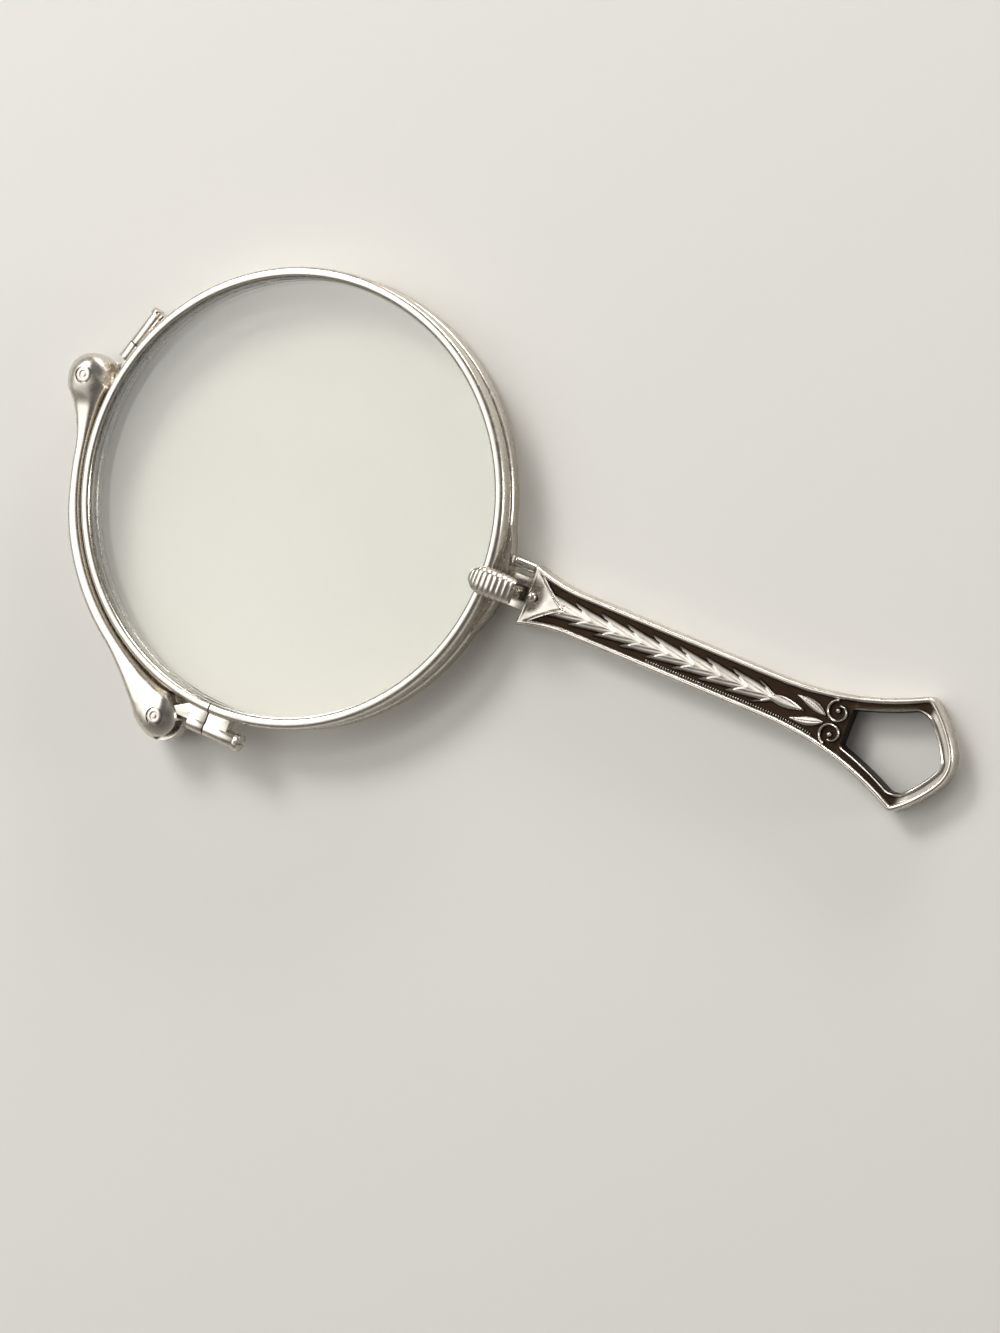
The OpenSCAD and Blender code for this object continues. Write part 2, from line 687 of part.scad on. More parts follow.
// Catch lever, drawn from the side: tail round the pin, stem, and arm over the eyewire
lever_boss = 0.55;
arm_plate_t = 0.35;
thumb_z = front_top + thumb_lift;
tooth_x = rim_in - 0.15;
module catch_lever() {
    plate = arm_plate_t;
    color(silver) difference() {
        union() {
            translate([0, lever_w / 2, 0]) rotate([90, 0, 0]) linear_extrude(lever_w) union() {
                translate([catch_x, catch_z]) circle(r = lever_boss);
                translate([catch_x, catch_z]) polygon(lever_boss *
                    [[0, 0], [0.36, -0.91], [0.91, -0.82], [1, 0]]);
                polygon([[catch_x - lever_boss, catch_z], [catch_x + lever_boss, catch_z],
                         [stem_x + stem_t, front_z - 0.1], [stem_x + stem_t, thumb_z + plate],
                         [tooth_x - tooth_t, thumb_z + plate],
                         [tooth_x - tooth_t, front_top + tooth_clear],
                         [tooth_x, front_top + tooth_clear], [tooth_x, thumb_z],
                         [stem_x, thumb_z], [stem_x, front_z - 0.15],
                         [catch_x - lever_boss * 0.6, catch_z + lever_boss * 0.8]]);
            }
        }
        translate([catch_x, -lever_w, catch_z]) rotate([-90, 0, 0])
            cylinder(d = catch_pin_d + 2 * run_gap, h = 2 * lever_w);
    }
}

// Thumb piece: domed, rounded toward the lens, with ribs across it
thumb_x1 = stem_x + stem_t + 0.1;
thumb_x0 = thumb_x1 - thumb_len;
thumb_base = thumb_z + arm_plate_t;
thumb_edge = 0.25;
thumb_r = rise_radius(thumb_len, thumb_h - thumb_edge);
rib_pitch = thumb_len / (thumb_ribs + 0.5);
rib_groove = 0.2;
function thumb_top(x) = thumb_h - thumb_r + sqrt(pow(thumb_r, 2) - pow(x - thumb_len / 2, 2));
module thumb_piece() {
    color(silver) translate([thumb_x0, 0, thumb_base]) difference() {
        intersection() {
            translate([thumb_len / 2, 0, thumb_h - thumb_r]) rotate([90, 0, 0])
                cylinder(r = thumb_r, h = 2 * thumb_w, center = true, $fn = 96);
            linear_extrude(thumb_h) union() {
                translate([thumb_w / 2, 0]) circle(d = thumb_w);
                translate([thumb_w / 2, -thumb_w / 2]) square([thumb_len - thumb_w / 2, thumb_w]);
            }
        }
        for (i = [0:thumb_ribs - 1]) let(x = rib_pitch * (i + 0.75))
            translate([x, 0, thumb_top(x)]) rotate([0, 45, 0])
                cube([rib_groove, 2 * thumb_w, rib_groove], center = true);
    }
}

module back_lens() { color(glass) translate([0, 0, back_z + rim_depth / 2]) lens(); }
module front_lens() { color(glass) translate([0, 0, front_z + rim_depth / 2]) lens(); }
module back_eyewire() { color(silver) on_back() eyewire(); }
module front_eyewire() { color(silver) on_front() eyewire(); }
module back_hinge_block() { color(silver) on_back() hinge_block(); }
module front_hinge_block() { color(silver) on_front() hinge_block(); }
module back_closing_tube() { color(silver) on_back() closing_tube(); }
module front_closing_tube() { color(silver) on_front() closing_tube(); }
module back_closing_screw() { color(silver_shade) on_back() closing_screw(); }
module front_closing_screw() { color(silver_shade) on_front() closing_screw(); }
module top_knuckle_cap() { color(silver) at_hinge(top_deg) knuckle_cap(); }
module bottom_knuckle_cap() { color(silver) at_hinge(bottom_deg) knuckle_cap(); }
module top_pivot_pin() { color(silver_shade) at_hinge(top_deg) pivot_pin(); }
module bottom_pivot_pin() { color(silver_shade) at_hinge(bottom_deg) pivot_pin(); }
module top_torsion_spring() {
    color(steel) at_hinge(top_deg)
        translate([0, 0, roof_z - spring_pitch * spring_turns - spring_wire_d]) torsion_spring();
}
module bottom_torsion_spring() {
    color(steel) at_hinge(bottom_deg) translate([0, 0, cap_t]) torsion_spring();
}
module handle_front_shell() {
    color(silver) translate([0, 0, handle_t / 2]) handle_shell();
}
module handle_back_shell() {
    color(silver) translate([0, 0, handle_t / 2]) mirror([0, 0, 1]) handle_shell();
}

back_lens();
back_eyewire();
back_hinge_block();
back_closing_tube();
back_closing_screw();
saddle();
throat_block();
stop_arm();
catch_pin();
catch_spring();
handle_front_shell();
handle_back_shell();
throat_rivet();
handle_loop();
bridge_bar();
top_knuckle_cap();
bottom_knuckle_cap();
top_pivot_pin();
bottom_pivot_pin();
top_torsion_spring();
bottom_torsion_spring();
front_lens();
front_eyewire();
front_hinge_block();
front_closing_tube();
front_closing_screw();
catch_lever();
thumb_piece();
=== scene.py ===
import math
import bmesh
import bpy
from mathutils import Matrix, Vector, geometry, kdtree


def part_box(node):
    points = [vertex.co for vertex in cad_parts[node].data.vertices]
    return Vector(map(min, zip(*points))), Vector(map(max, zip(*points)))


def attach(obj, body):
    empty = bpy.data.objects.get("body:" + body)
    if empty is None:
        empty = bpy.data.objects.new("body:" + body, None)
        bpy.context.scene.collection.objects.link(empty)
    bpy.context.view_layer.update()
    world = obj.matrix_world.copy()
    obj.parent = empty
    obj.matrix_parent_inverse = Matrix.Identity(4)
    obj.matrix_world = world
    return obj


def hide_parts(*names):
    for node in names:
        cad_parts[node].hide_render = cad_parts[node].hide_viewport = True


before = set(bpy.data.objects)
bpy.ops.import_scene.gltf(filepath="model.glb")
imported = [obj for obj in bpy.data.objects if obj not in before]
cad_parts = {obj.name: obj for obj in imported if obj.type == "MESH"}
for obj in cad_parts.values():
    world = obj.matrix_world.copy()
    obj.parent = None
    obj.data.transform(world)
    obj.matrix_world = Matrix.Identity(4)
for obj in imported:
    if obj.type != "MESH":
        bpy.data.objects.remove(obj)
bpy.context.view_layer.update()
MM = 0.001


# Studio
# A table of pale matt card, a broad scrim on the left and three smaller softboxes round it. The
# camera looks from where the photograph was taken: 0.34 m away, 21 degrees off the line of sight
# through the lenses, rolled so that the handle falls to the right.
def srgb(code):
    """Linear colour of an sRGB hex code."""
    parts = [int(code[i:i + 2], 16) / 255 for i in (1, 3, 5)]
    return [c / 12.92 if c <= 0.04045 else ((c + 0.055) / 1.055) ** 2.4 for c in parts] + [1.0]


def put(tree, kind, settings=None, inputs=None):
    """Adds one node with its settings, input values and links."""
    made = tree.nodes.new(kind)
    for name, value in (settings or {}).items():
        setattr(made, name, value)
    for name, value in (inputs or {}).items():
        socket = made.inputs[name]
        if isinstance(value, bpy.types.NodeSocket):
            tree.links.new(value, socket)
        else:
            socket.default_value = value
    return made


def new_material(name):
    """Material with an empty node tree; returns both."""
    material = bpy.data.materials.new(name)
    material.use_nodes = True
    material.node_tree.nodes.clear()
    return material, material.node_tree


VIEW_RIGHT = Vector((0.8655, 0.3540, -0.3544))
VIEW_UP = Vector((-0.3682, 0.9293, 0.0292))
VIEW_BACK = Vector((0.3396, 0.1052, 0.9347))
EYE = Vector((136.31, 28.15, 312.13)) * MM
SENSOR_MM = 36.0
PHOTO_HEIGHT_PX = 1333
FOCAL_PX = 3782.4
NEAREST_SEEN = 0.01

camera_data = bpy.data.cameras.new("studio_camera")
camera_data.sensor_width = SENSOR_MM
camera_data.lens = FOCAL_PX * SENSOR_MM / PHOTO_HEIGHT_PX
camera_data.clip_start = NEAREST_SEEN
camera = bpy.data.objects.new("studio_camera", camera_data)
bpy.context.scene.collection.objects.link(camera)
turn = Matrix((VIEW_RIGHT, VIEW_UP, VIEW_BACK)).transposed().to_4x4()
camera.matrix_world = Matrix.Translation(EYE) @ turn
bpy.context.scene.camera = camera
bpy.context.scene.view_settings.view_transform = "Standard"

TABLE_HALF = 3
table_mesh = bpy.data.meshes.new("table_top")
table_mesh.from_pydata([(x * TABLE_HALF, y * TABLE_HALF, 0) for x, y in ((-1, -1), (1, -1), (1, 1), (-1, 1))],
                       [], [(0, 1, 2, 3)])
table = bpy.data.objects.new("table_top", table_mesh)
bpy.context.scene.collection.objects.link(table)

# Card: pressed fibres give it a soft tooth and no shine
CARD_GRAIN = MM / 0.9
paper, tree = new_material("pale_matt_card")
grain = put(tree, "ShaderNodeTexNoise", inputs={
    "Vector": put(tree, "ShaderNodeTexCoord").outputs["Object"], "Scale": 1 / CARD_GRAIN,
    "Detail": 4.0})
rise = put(tree, "ShaderNodeBump", inputs={
    "Height": grain.outputs["Fac"], "Strength": 0.08, "Distance": 0.05 * MM})
card = put(tree, "ShaderNodeBsdfPrincipled", inputs={
    "Base Color": srgb("#E2DFD9"), "Roughness": 0.75, "Specular IOR Level": 0.2,
    "Normal": rise.outputs["Normal"]})
put(tree, "ShaderNodeOutputMaterial", inputs={"Surface": card.outputs["BSDF"]})
table_mesh.materials.append(paper)

world = bpy.data.worlds.new("studio_room")
world.use_nodes = True
tree = world.node_tree
tree.nodes.clear()
direction = put(tree, "ShaderNodeTexCoord").outputs["Generated"]
height = put(tree, "ShaderNodeSeparateXYZ", inputs={"Vector": direction}).outputs["Z"]
ramp = put(tree, "ShaderNodeValToRGB", inputs={"Fac": height})
ramp.color_ramp.elements[0].position = 0.0
ramp.color_ramp.elements[0].color = srgb("#B8B6B2")
ramp.color_ramp.elements[1].position = 0.8
ramp.color_ramp.elements[1].color = srgb("#6A6866")
room = put(tree, "ShaderNodeBackground", inputs={"Color": ramp.outputs["Color"], "Strength": 0.88})
put(tree, "ShaderNodeOutputWorld", inputs={"Surface": room.outputs["Background"]})
bpy.context.scene.world = world


def softbox(name, across, up, back, far, size, power):
    """Lamp placed by the photograph's right, up and toward-the-camera directions, soft at its edges."""
    place = (VIEW_RIGHT * across + VIEW_UP * up + VIEW_BACK * back).normalized() * far
    lamp = bpy.data.lights.new(name, "AREA")
    lamp.shape = "RECTANGLE"
    lamp.size, lamp.size_y = size
    lamp.energy = power
    lamp.use_nodes = True
    tree = lamp.node_tree
    tree.nodes.clear()
    spot = put(tree, "ShaderNodeNewGeometry").outputs["Parametric"]
    split = put(tree, "ShaderNodeSeparateXYZ", inputs={"Vector": spot})
    glow = 1.0
    for axis in ("X", "Y"):
        off = put(tree, "ShaderNodeMath", {"operation": "SUBTRACT"}, {0: split.outputs[axis], 1: 0.5})
        away = put(tree, "ShaderNodeMath", {"operation": "ABSOLUTE"}, {0: off.outputs["Value"]})
        fade = put(tree, "ShaderNodeMapRange", {"interpolation_type": "SMOOTHSTEP"}, {
            "Value": away.outputs["Value"], "From Min": 0.5, "From Max": 0.12})
        glow = put(tree, "ShaderNodeMath", {"operation": "MULTIPLY"}, {
            0: fade.outputs["Result"], 1: glow}).outputs["Value"]
    shine = put(tree, "ShaderNodeEmission", inputs={"Strength": glow})
    put(tree, "ShaderNodeOutputLight", inputs={"Surface": shine.outputs["Emission"]})
    holder = bpy.data.objects.new(name, lamp)
    bpy.context.scene.collection.objects.link(holder)
    holder.matrix_world = Matrix.Translation(place) @ place.to_track_quat("Z", "Y").to_matrix().to_4x4()


softbox("broad_scrim", -0.80, 0.26, 0.58, 0.75, (1.30, 1.20), 9.5)
softbox("window_softbox", -0.75, 0.85, 0.55, 0.60, (0.34, 0.26), 4.5)
softbox("side_strip", 1.0, 0.05, 0.35, 0.60, (0.18, 0.50), 5.6)
softbox("top_strip", 0.35, 1.0, 0.30, 0.60, (0.50, 0.14), 4.9)


# Eyewires
# Two split rings of drawn silver wire, flat-sided with rounded corners and a V groove inside for
# the lens, bent on a mandrel. Each is cut through beside its knuckle. The silver is old: bright
# where it is handled, warm and duller between, with brown in every corner, sulphide and painted shade.
CLOUD_SIZE, RUB_SIZE, SCRATCH_SIZE = 2.6 * MM, 0.7 * MM, 0.12 * MM
# Reach of the occlusion that finds the hollows, which are darkened as tarnish and painted shade
HOLLOW_REACH = 0.4 * MM


def worn_silver(name, hollow=None, rough=0.24, tarnish_and_shade=0.5, dark="#4A3B2E"):
    """Hand-polished silver: bright metal, brown-grey in the hollows as sulphide tarnish and painted shade,
    fine scratches.
    """
    material, tree = new_material(name)
    place = put(tree, "ShaderNodeTexCoord").outputs["Object"]
    # Hollows, from a height attribute or from occlusion, darken the colour toward brown: partly sulphide
    # tarnish, partly painted shade
    if hollow:
        sunk = put(tree, "ShaderNodeAttribute", {"attribute_name": hollow}).outputs["Fac"]
    else:
        shade = put(tree, "ShaderNodeAmbientOcclusion", {"samples": 8},
                    {"Distance": HOLLOW_REACH}).outputs["AO"]
        sunk = put(tree, "ShaderNodeMapRange", inputs={
            "Value": shade, "From Min": 0.6, "From Max": 0.1}).outputs["Result"]
    cloud = put(tree, "ShaderNodeTexNoise", inputs={
        "Vector": place, "Scale": 1 / CLOUD_SIZE, "Detail": 5.0, "Roughness": 0.6})
    patchy = put(tree, "ShaderNodeMapRange", inputs={
        "Value": cloud.outputs["Fac"], "From Min": 0.45, "From Max": 0.75, "To Max": 0.35})
    # Hollow darkening (tarnish and painted shade) plus random tarnish patches
    stain_and_shade = put(tree, "ShaderNodeMath", {"operation": "ADD", "use_clamp": True}, {
        0: sunk, 1: patchy.outputs["Result"]})
    amount = put(tree, "ShaderNodeMath", {"operation": "MULTIPLY", "use_clamp": True}, {
        0: stain_and_shade.outputs["Value"], 1: tarnish_and_shade})
    tint = put(tree, "ShaderNodeMix", {"data_type": "RGBA"}, {
        "Factor": amount.outputs["Value"], "A": srgb("#DAD3C8"), "B": srgb(dark)})
    rubbed = put(tree, "ShaderNodeTexNoise", inputs={
        "Vector": place, "Scale": 1 / RUB_SIZE, "Detail": 4.0})
    gloss = put(tree, "ShaderNodeMapRange", inputs={
        "Value": rubbed.outputs["Fac"], "From Min": 0.3, "From Max": 0.7,
        "To Min": rough - 0.05, "To Max": rough + 0.09})
    duller = put(tree, "ShaderNodeMath", {"operation": "MULTIPLY_ADD"}, {
        0: amount.outputs["Value"], 1: 0.25, 2: gloss.outputs["Result"]})
    scratch = put(tree, "ShaderNodeTexNoise", inputs={
        "Vector": place, "Scale": 1 / SCRATCH_SIZE, "Detail": 3.0})
    dent = put(tree, "ShaderNodeBump", inputs={
        "Height": rubbed.outputs["Fac"], "Strength": 0.15, "Distance": 0.01 * MM})
    fine = put(tree, "ShaderNodeBump", inputs={
        "Height": scratch.outputs["Fac"], "Strength": 0.15, "Distance": 0.004 * MM,
        "Normal": dent.outputs["Normal"]})
    metal = put(tree, "ShaderNodeBsdfPrincipled", inputs={
        "Base Color": tint.outputs["Result"], "Metallic": 1.0,
        "Roughness": duller.outputs["Value"], "Normal": fine.outputs["Normal"]})
    put(tree, "ShaderNodeOutputMaterial", inputs={"Surface": metal.outputs["BSDF"]})
    return material


# Drawn wire, polished by hand: long soft highlights round the ring
wire_silver = worn_silver("drawn_silver_wire", rough=0.22, tarnish_and_shade=0.45)

RIM_IN, RIM_OUT, RIM_DEPTH = 19.7, 20.65, 1.9
BACK_Z, FRONT_Z = 0.3, 2.7
GROOVE = 0.45
CUT_WIDTH = 0.12
INNER_ROUND, OUTER_ROUND, GROOVE_ROUND = 0.40, 0.50, 0.03
TOP_DEG, BOTTOM_DEG, CUT_DEG = 172.0, 258.5, 11.5
WIRE_STEPS = 320


def rounded(points, radii, steps=4):
    """Closed outline with each corner replaced by a curve that starts that far from it."""
    out = []
    for i, (corner, radius) in enumerate(zip(points, radii)):
        if radius == 0:
            out.append(corner)
            continue
        here = Vector(corner)
        before = here + (Vector(points[i - 1]) - here).normalized() * radius
        after = here + (Vector(points[(i + 1) % len(points)]) - here).normalized() * radius
        for k in range(steps + 1):
            t = k / steps
            out.append(tuple(before * (1 - t) ** 2 + here * 2 * t * (1 - t) + after * t * t))
    return out


def closed_curve(name, outline):
    """Curve object holding one closed outline, in millimetres, for a sweep."""
    data = bpy.data.curves.new(name, "CURVE")
    data.dimensions = "2D"
    spline = data.splines.new("POLY")
    spline.points.add(len(outline) - 1)
    for point, (x, y) in zip(spline.points, outline):
        point.co = (x * MM, y * MM, 0, 1)
    spline.use_cyclic_u = True
    made = bpy.data.objects.new(name, data)
    bpy.context.scene.collection.objects.link(made)
    return made


def grow(name, tree, values, body, nodes):
    """Runs a Geometry Nodes tree with these named inputs and keeps the result as a plain mesh."""
    seed = bpy.data.objects.new(name + "_seed", bpy.data.meshes.new(name + "_seed"))
    bpy.context.scene.collection.objects.link(seed)
    modifier = seed.modifiers.new(name, "NODES")
    modifier.node_group = tree
    sockets = {item.name: item.identifier for item in tree.interface.items_tree
               if item.item_type == "SOCKET" and item.in_out == "INPUT"}
    for key, value in values.items():
        modifier[sockets[key]] = value
    bpy.context.view_layer.update()
    result = bpy.data.meshes.new_from_object(seed.evaluated_get(bpy.context.evaluated_depsgraph_get()))
    bpy.data.objects.remove(seed)
    return place_piece(name, result, body, nodes)


def place_piece(name, mesh, body, nodes, sharp_deg=38):
    """Object from a finished mesh, smooth but for its sharp edges, riding on its body."""
    mesh.name = name
    piece = bpy.data.objects.new(name, mesh)
    bpy.context.scene.collection.objects.link(piece)
    mesh.shade_smooth()
    mesh.set_sharp_from_angle(angle=math.radians(sharp_deg))
    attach(piece, body)
    if nodes:
        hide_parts(*nodes)
    return piece


def new_tree(name, sockets):
    """Empty geometry tree with named inputs; returns it with its input and output nodes."""
    tree = bpy.data.node_groups.new(name, "GeometryNodeTree")
    tree.interface.new_socket("Geometry", in_out="INPUT", socket_type="NodeSocketGeometry")
    for label, kind in sockets:
        tree.interface.new_socket(label, in_out="INPUT", socket_type="NodeSocket" + kind)
    tree.interface.new_socket("Geometry", in_out="OUTPUT", socket_type="NodeSocketGeometry")
    return tree, put(tree, "NodeGroupInput").outputs


def close_tree(tree, geometry_socket, material_socket):
    """Ends a geometry tree: instances made real, the finish set, and the output."""
    real = put(tree, "GeometryNodeRealizeInstances", inputs={"Geometry": geometry_socket})
    dressed = put(tree, "GeometryNodeSetMaterial", inputs={
        "Geometry": real.outputs["Geometry"], "Material": material_socket})
    put(tree, "NodeGroupOutput", inputs={"Geometry": dressed.outputs["Geometry"]})


eyewire_tree, given = new_tree("eyewire_sweep", [
    ("Wire section", "Object"), ("Radius", "Float"), ("Cut angle", "Float"),
    ("Cut width", "Float"), ("Height", "Float"), ("Steps", "Int"), ("Finish", "Material")])
gap = put(eyewire_tree, "ShaderNodeMath", {"operation": "DIVIDE"}, {
    0: given["Cut width"], 1: given["Radius"]}).outputs["Value"]
half_gap = put(eyewire_tree, "ShaderNodeMath", {"operation": "MULTIPLY"}, {0: gap, 1: 0.5})
start = put(eyewire_tree, "ShaderNodeMath", {"operation": "ADD"}, {
    0: given["Cut angle"], 1: half_gap.outputs["Value"]}).outputs["Value"]
sweep = put(eyewire_tree, "ShaderNodeMath", {"operation": "SUBTRACT"}, {0: math.tau, 1: gap})
ring = put(eyewire_tree, "GeometryNodeCurveArc", {"mode": "RADIUS"}, {
    "Resolution": given["Steps"], "Radius": given["Radius"], "Start Angle": start,
    "Sweep Angle": sweep.outputs["Value"]})
upright = put(eyewire_tree, "GeometryNodeSetCurveNormal", {"mode": "Z_UP"}, {
    "Curve": ring.outputs["Curve"]})
section = put(eyewire_tree, "GeometryNodeObjectInfo", inputs={"Object": given["Wire section"]})
wire = put(eyewire_tree, "GeometryNodeCurveToMesh", inputs={
    "Curve": upright.outputs["Curve"], "Profile Curve": section.outputs["Geometry"],
    "Fill Caps": True})
lift = put(eyewire_tree, "ShaderNodeCombineXYZ", inputs={"Z": given["Height"]})
raised = put(eyewire_tree, "GeometryNodeTransform", inputs={
    "Geometry": wire.outputs["Mesh"], "Translation": lift.outputs["Vector"]})
close_tree(eyewire_tree, raised.outputs["Geometry"], given["Finish"])

half = RIM_DEPTH / 2
wire_outline = rounded(
    [(0.0, -half), (RIM_OUT - RIM_IN, -half), (RIM_OUT - RIM_IN, half), (0.0, half),
     (0.0, GROOVE), (GROOVE, 0.0), (0.0, -GROOVE)],
    [INNER_ROUND, OUTER_ROUND, OUTER_ROUND, INNER_ROUND, GROOVE_ROUND, GROOVE_ROUND, GROOVE_ROUND],
    steps=8)
wire_section = closed_curve("wire_section", wire_outline)
for name, body, node, low, cut in (
        ("front_eyewire_ring", "front_frame", "front_eyewire", FRONT_Z, BOTTOM_DEG + CUT_DEG),
        ("back_eyewire_ring", "back_frame", "back_eyewire", BACK_Z, TOP_DEG - CUT_DEG)):
    grow(name, eyewire_tree, {
        "Wire section": wire_section, "Radius": RIM_IN * MM, "Cut angle": math.radians(cut),
        "Cut width": CUT_WIDTH * MM, "Height": (low + half) * MM, "Steps": WIRE_STEPS,
        "Finish": wire_silver}, body, [node])
bpy.data.objects.remove(wire_section)


# Lenses
# Thin biconvex discs of optical glass, ground, polished and bevelled at the edge to sit in the
# eyewires' grooves. Clear, with the faint warmth of old glass, and a bright line at the bevel.
def turned(name, outline, centre, body, nodes, material, steps=96, sharp_deg=38):
    """Solid of revolution about Z from (radius, height) points that start and end on the axis."""
    made = bmesh.new()
    rings = []
    for radius, z in outline:
        if radius < 1e-9:
            rings.append([made.verts.new((centre[0] * MM, centre[1] * MM, z * MM))])
            continue
        rings.append([made.verts.new((
            (centre[0] + radius * math.cos(math.tau * i / steps)) * MM,
            (centre[1] + radius * math.sin(math.tau * i / steps)) * MM, z * MM))
            for i in range(steps)])
    for low, high in zip(rings, rings[1:]):
        for i in range(steps):
            j = (i + 1) % steps
            corners = [low[i % len(low)], low[j % len(low)], high[j % len(high)], high[i % len(high)]]
            made.faces.new(list(dict.fromkeys(corners)))
    bmesh.ops.recalc_face_normals(made, faces=made.faces)
    mesh = bpy.data.meshes.new(name)
    made.to_mesh(mesh)
    made.free()
    mesh.materials.append(material)
    return place_piece(name, mesh, body, nodes, sharp_deg)


# Ground and polished glass: seen only by its reflections and by the bent light at its rim
optical_glass, tree = new_material("polished_optical_glass")
clear = put(tree, "ShaderNodeBsdfPrincipled", inputs={
    "Base Color": srgb("#FDFDFB"), "Roughness": 0.0, "IOR": 1.52, "Transmission Weight": 1.0})
shadow = put(tree, "ShaderNodeBsdfTransparent", inputs={"Color": srgb("#FAFAF8")})
light_path = put(tree, "ShaderNodeLightPath")
let_light = put(tree, "ShaderNodeMath", {"operation": "MAXIMUM"}, {
    0: light_path.outputs["Is Shadow Ray"], 1: light_path.outputs["Is Diffuse Ray"]})
blend = put(tree, "ShaderNodeMixShader", inputs={
    0: let_light.outputs["Value"], 1: clear.outputs["BSDF"], 2: shadow.outputs["BSDF"]})
put(tree, "ShaderNodeOutputMaterial", inputs={"Surface": blend.outputs["Shader"]})

LENS_EDGE, LENS_FACE, LENS_HALF, BEVEL_FLAT = 20.13, 19.6, 1.0, 0.02
FACE_RINGS, LENS_STEPS = 24, 192
edge_half = LENS_EDGE - LENS_FACE
sag = LENS_HALF - edge_half
curve_r = (LENS_FACE ** 2 + sag ** 2) / (2 * sag)
face = []
for k in range(FACE_RINGS + 1):
    radius = LENS_FACE * k / FACE_RINGS
    face.append((radius, LENS_HALF - curve_r + math.sqrt(curve_r ** 2 - radius ** 2)))
for name, body, node, low in (("front_lens_glass", "front_frame", "front_lens", FRONT_Z),
                              ("back_lens_glass", "back_frame", "back_lens", BACK_Z)):
    middle = low + half
    outline = [(r, middle + z) for r, z in face]
    outline += [(LENS_EDGE, middle + BEVEL_FLAT), (LENS_EDGE, middle - BEVEL_FLAT)]
    outline += [(r, middle - z) for r, z in reversed(face)]
    turned(name, outline, (0, 0), body, [node], optical_glass, LENS_STEPS, sharp_deg=20)


# Spring bridge
# A bowed bar of cast silver that swells into a ball knuckle at each end, smoothed by file and
# wheel to one soft form. Each knuckle is slotted for a tongue and hollow for its hidden spring.
# Cast and polished soft: the brightest metal here, with little stain and little painted shade
knuckle_silver = worn_silver("cast_silver_polished_soft", rough=0.24, tarnish_and_shade=0.14)

PIVOT_R, KNUCKLE_R, KNUCKLE_H, DOME_R = 23.3, 2.2, 4.9, 2.5
BAR_IN, BAR_OUT, BAR_HALF_H = RIM_OUT + 0.25, 22.22, 1.6
BOW_OUT, BOW_FROM, BOW_SPAN = 0.2, 194, 16
TOP_NECK, TOP_NECK_DEG, TOP_NECK_POWER = 4.24, 18, 2.2
BOTTOM_NECK, BOTTOM_NECK_DEG, BOTTOM_NECK_POWER = 3.7, 22, 1.8
NECK_MOST, NECK_HIGHER, SQUARENESS = 2.4, 0.2, 3.6
END_BLEND, BALL_BLEND, NECK_BLEND = 0.5, 0.5, 0.9


def soft_max(a, b, width):
    """Larger of two values, rounded where they meet; for two distances it fills the corner."""
    h = max(width - abs(a - b), 0.0) / width
    return max(a, b) + h * h * width / 4


def bar_outer(deg):
    """Radius of the bar's outer side between the knuckles: it bows out a little lower down."""
    t = min(max((deg - BOW_FROM) / BOW_SPAN, 0.0), 1.0)
    return BAR_OUT + BOW_OUT * t * t * (3 - 2 * t)


def bridge_distance(deg, r, z):
    """Signed distance, in mm, to the bridge's form at this angle, radius and height."""
    top_swell = TOP_NECK * max(1 - (deg - TOP_DEG) / TOP_NECK_DEG, 0.0) ** TOP_NECK_POWER
    bottom_swell = BOTTOM_NECK * max(1 - (BOTTOM_DEG - deg) / BOTTOM_NECK_DEG, 0.0) ** BOTTOM_NECK_POWER
    swell = min(top_swell + bottom_swell, NECK_MOST)
    wide = (bar_outer(deg) + swell - BAR_IN) / 2
    tall = BAR_HALF_H + NECK_HIGHER * swell
    dr = (r - BAR_IN - wide) / wide
    dz = z / tall
    spread = (abs(dr) ** SQUARENESS + abs(dz) ** SQUARENESS) ** (1 / SQUARENESS)
    bar = (spread - 1) * min(wide, tall)
    end = max(TOP_DEG - deg, deg - BOTTOM_DEG) * math.radians(1) * r
    nearest = soft_max(bar, end, END_BLEND)
    for ball_deg in (TOP_DEG, BOTTOM_DEG):
        across = math.radians(deg - ball_deg)
        plan = math.hypot(r - PIVOT_R * math.cos(across), PIVOT_R * math.sin(across))
        ball = soft_max(math.hypot(plan, z) - DOME_R, plan - KNUCKLE_R, BALL_BLEND)
        nearest = -soft_max(-nearest, -ball, NECK_BLEND)
    return nearest


CORE_R, SEARCH_TO, SEARCH_STEPS = 21.6, 3.4, 22
CORE_TOP_DEG, CORE_BOTTOM_DEG = 8.0, 12.0
BALL_RINGS, BAR_RINGS = 22, 150


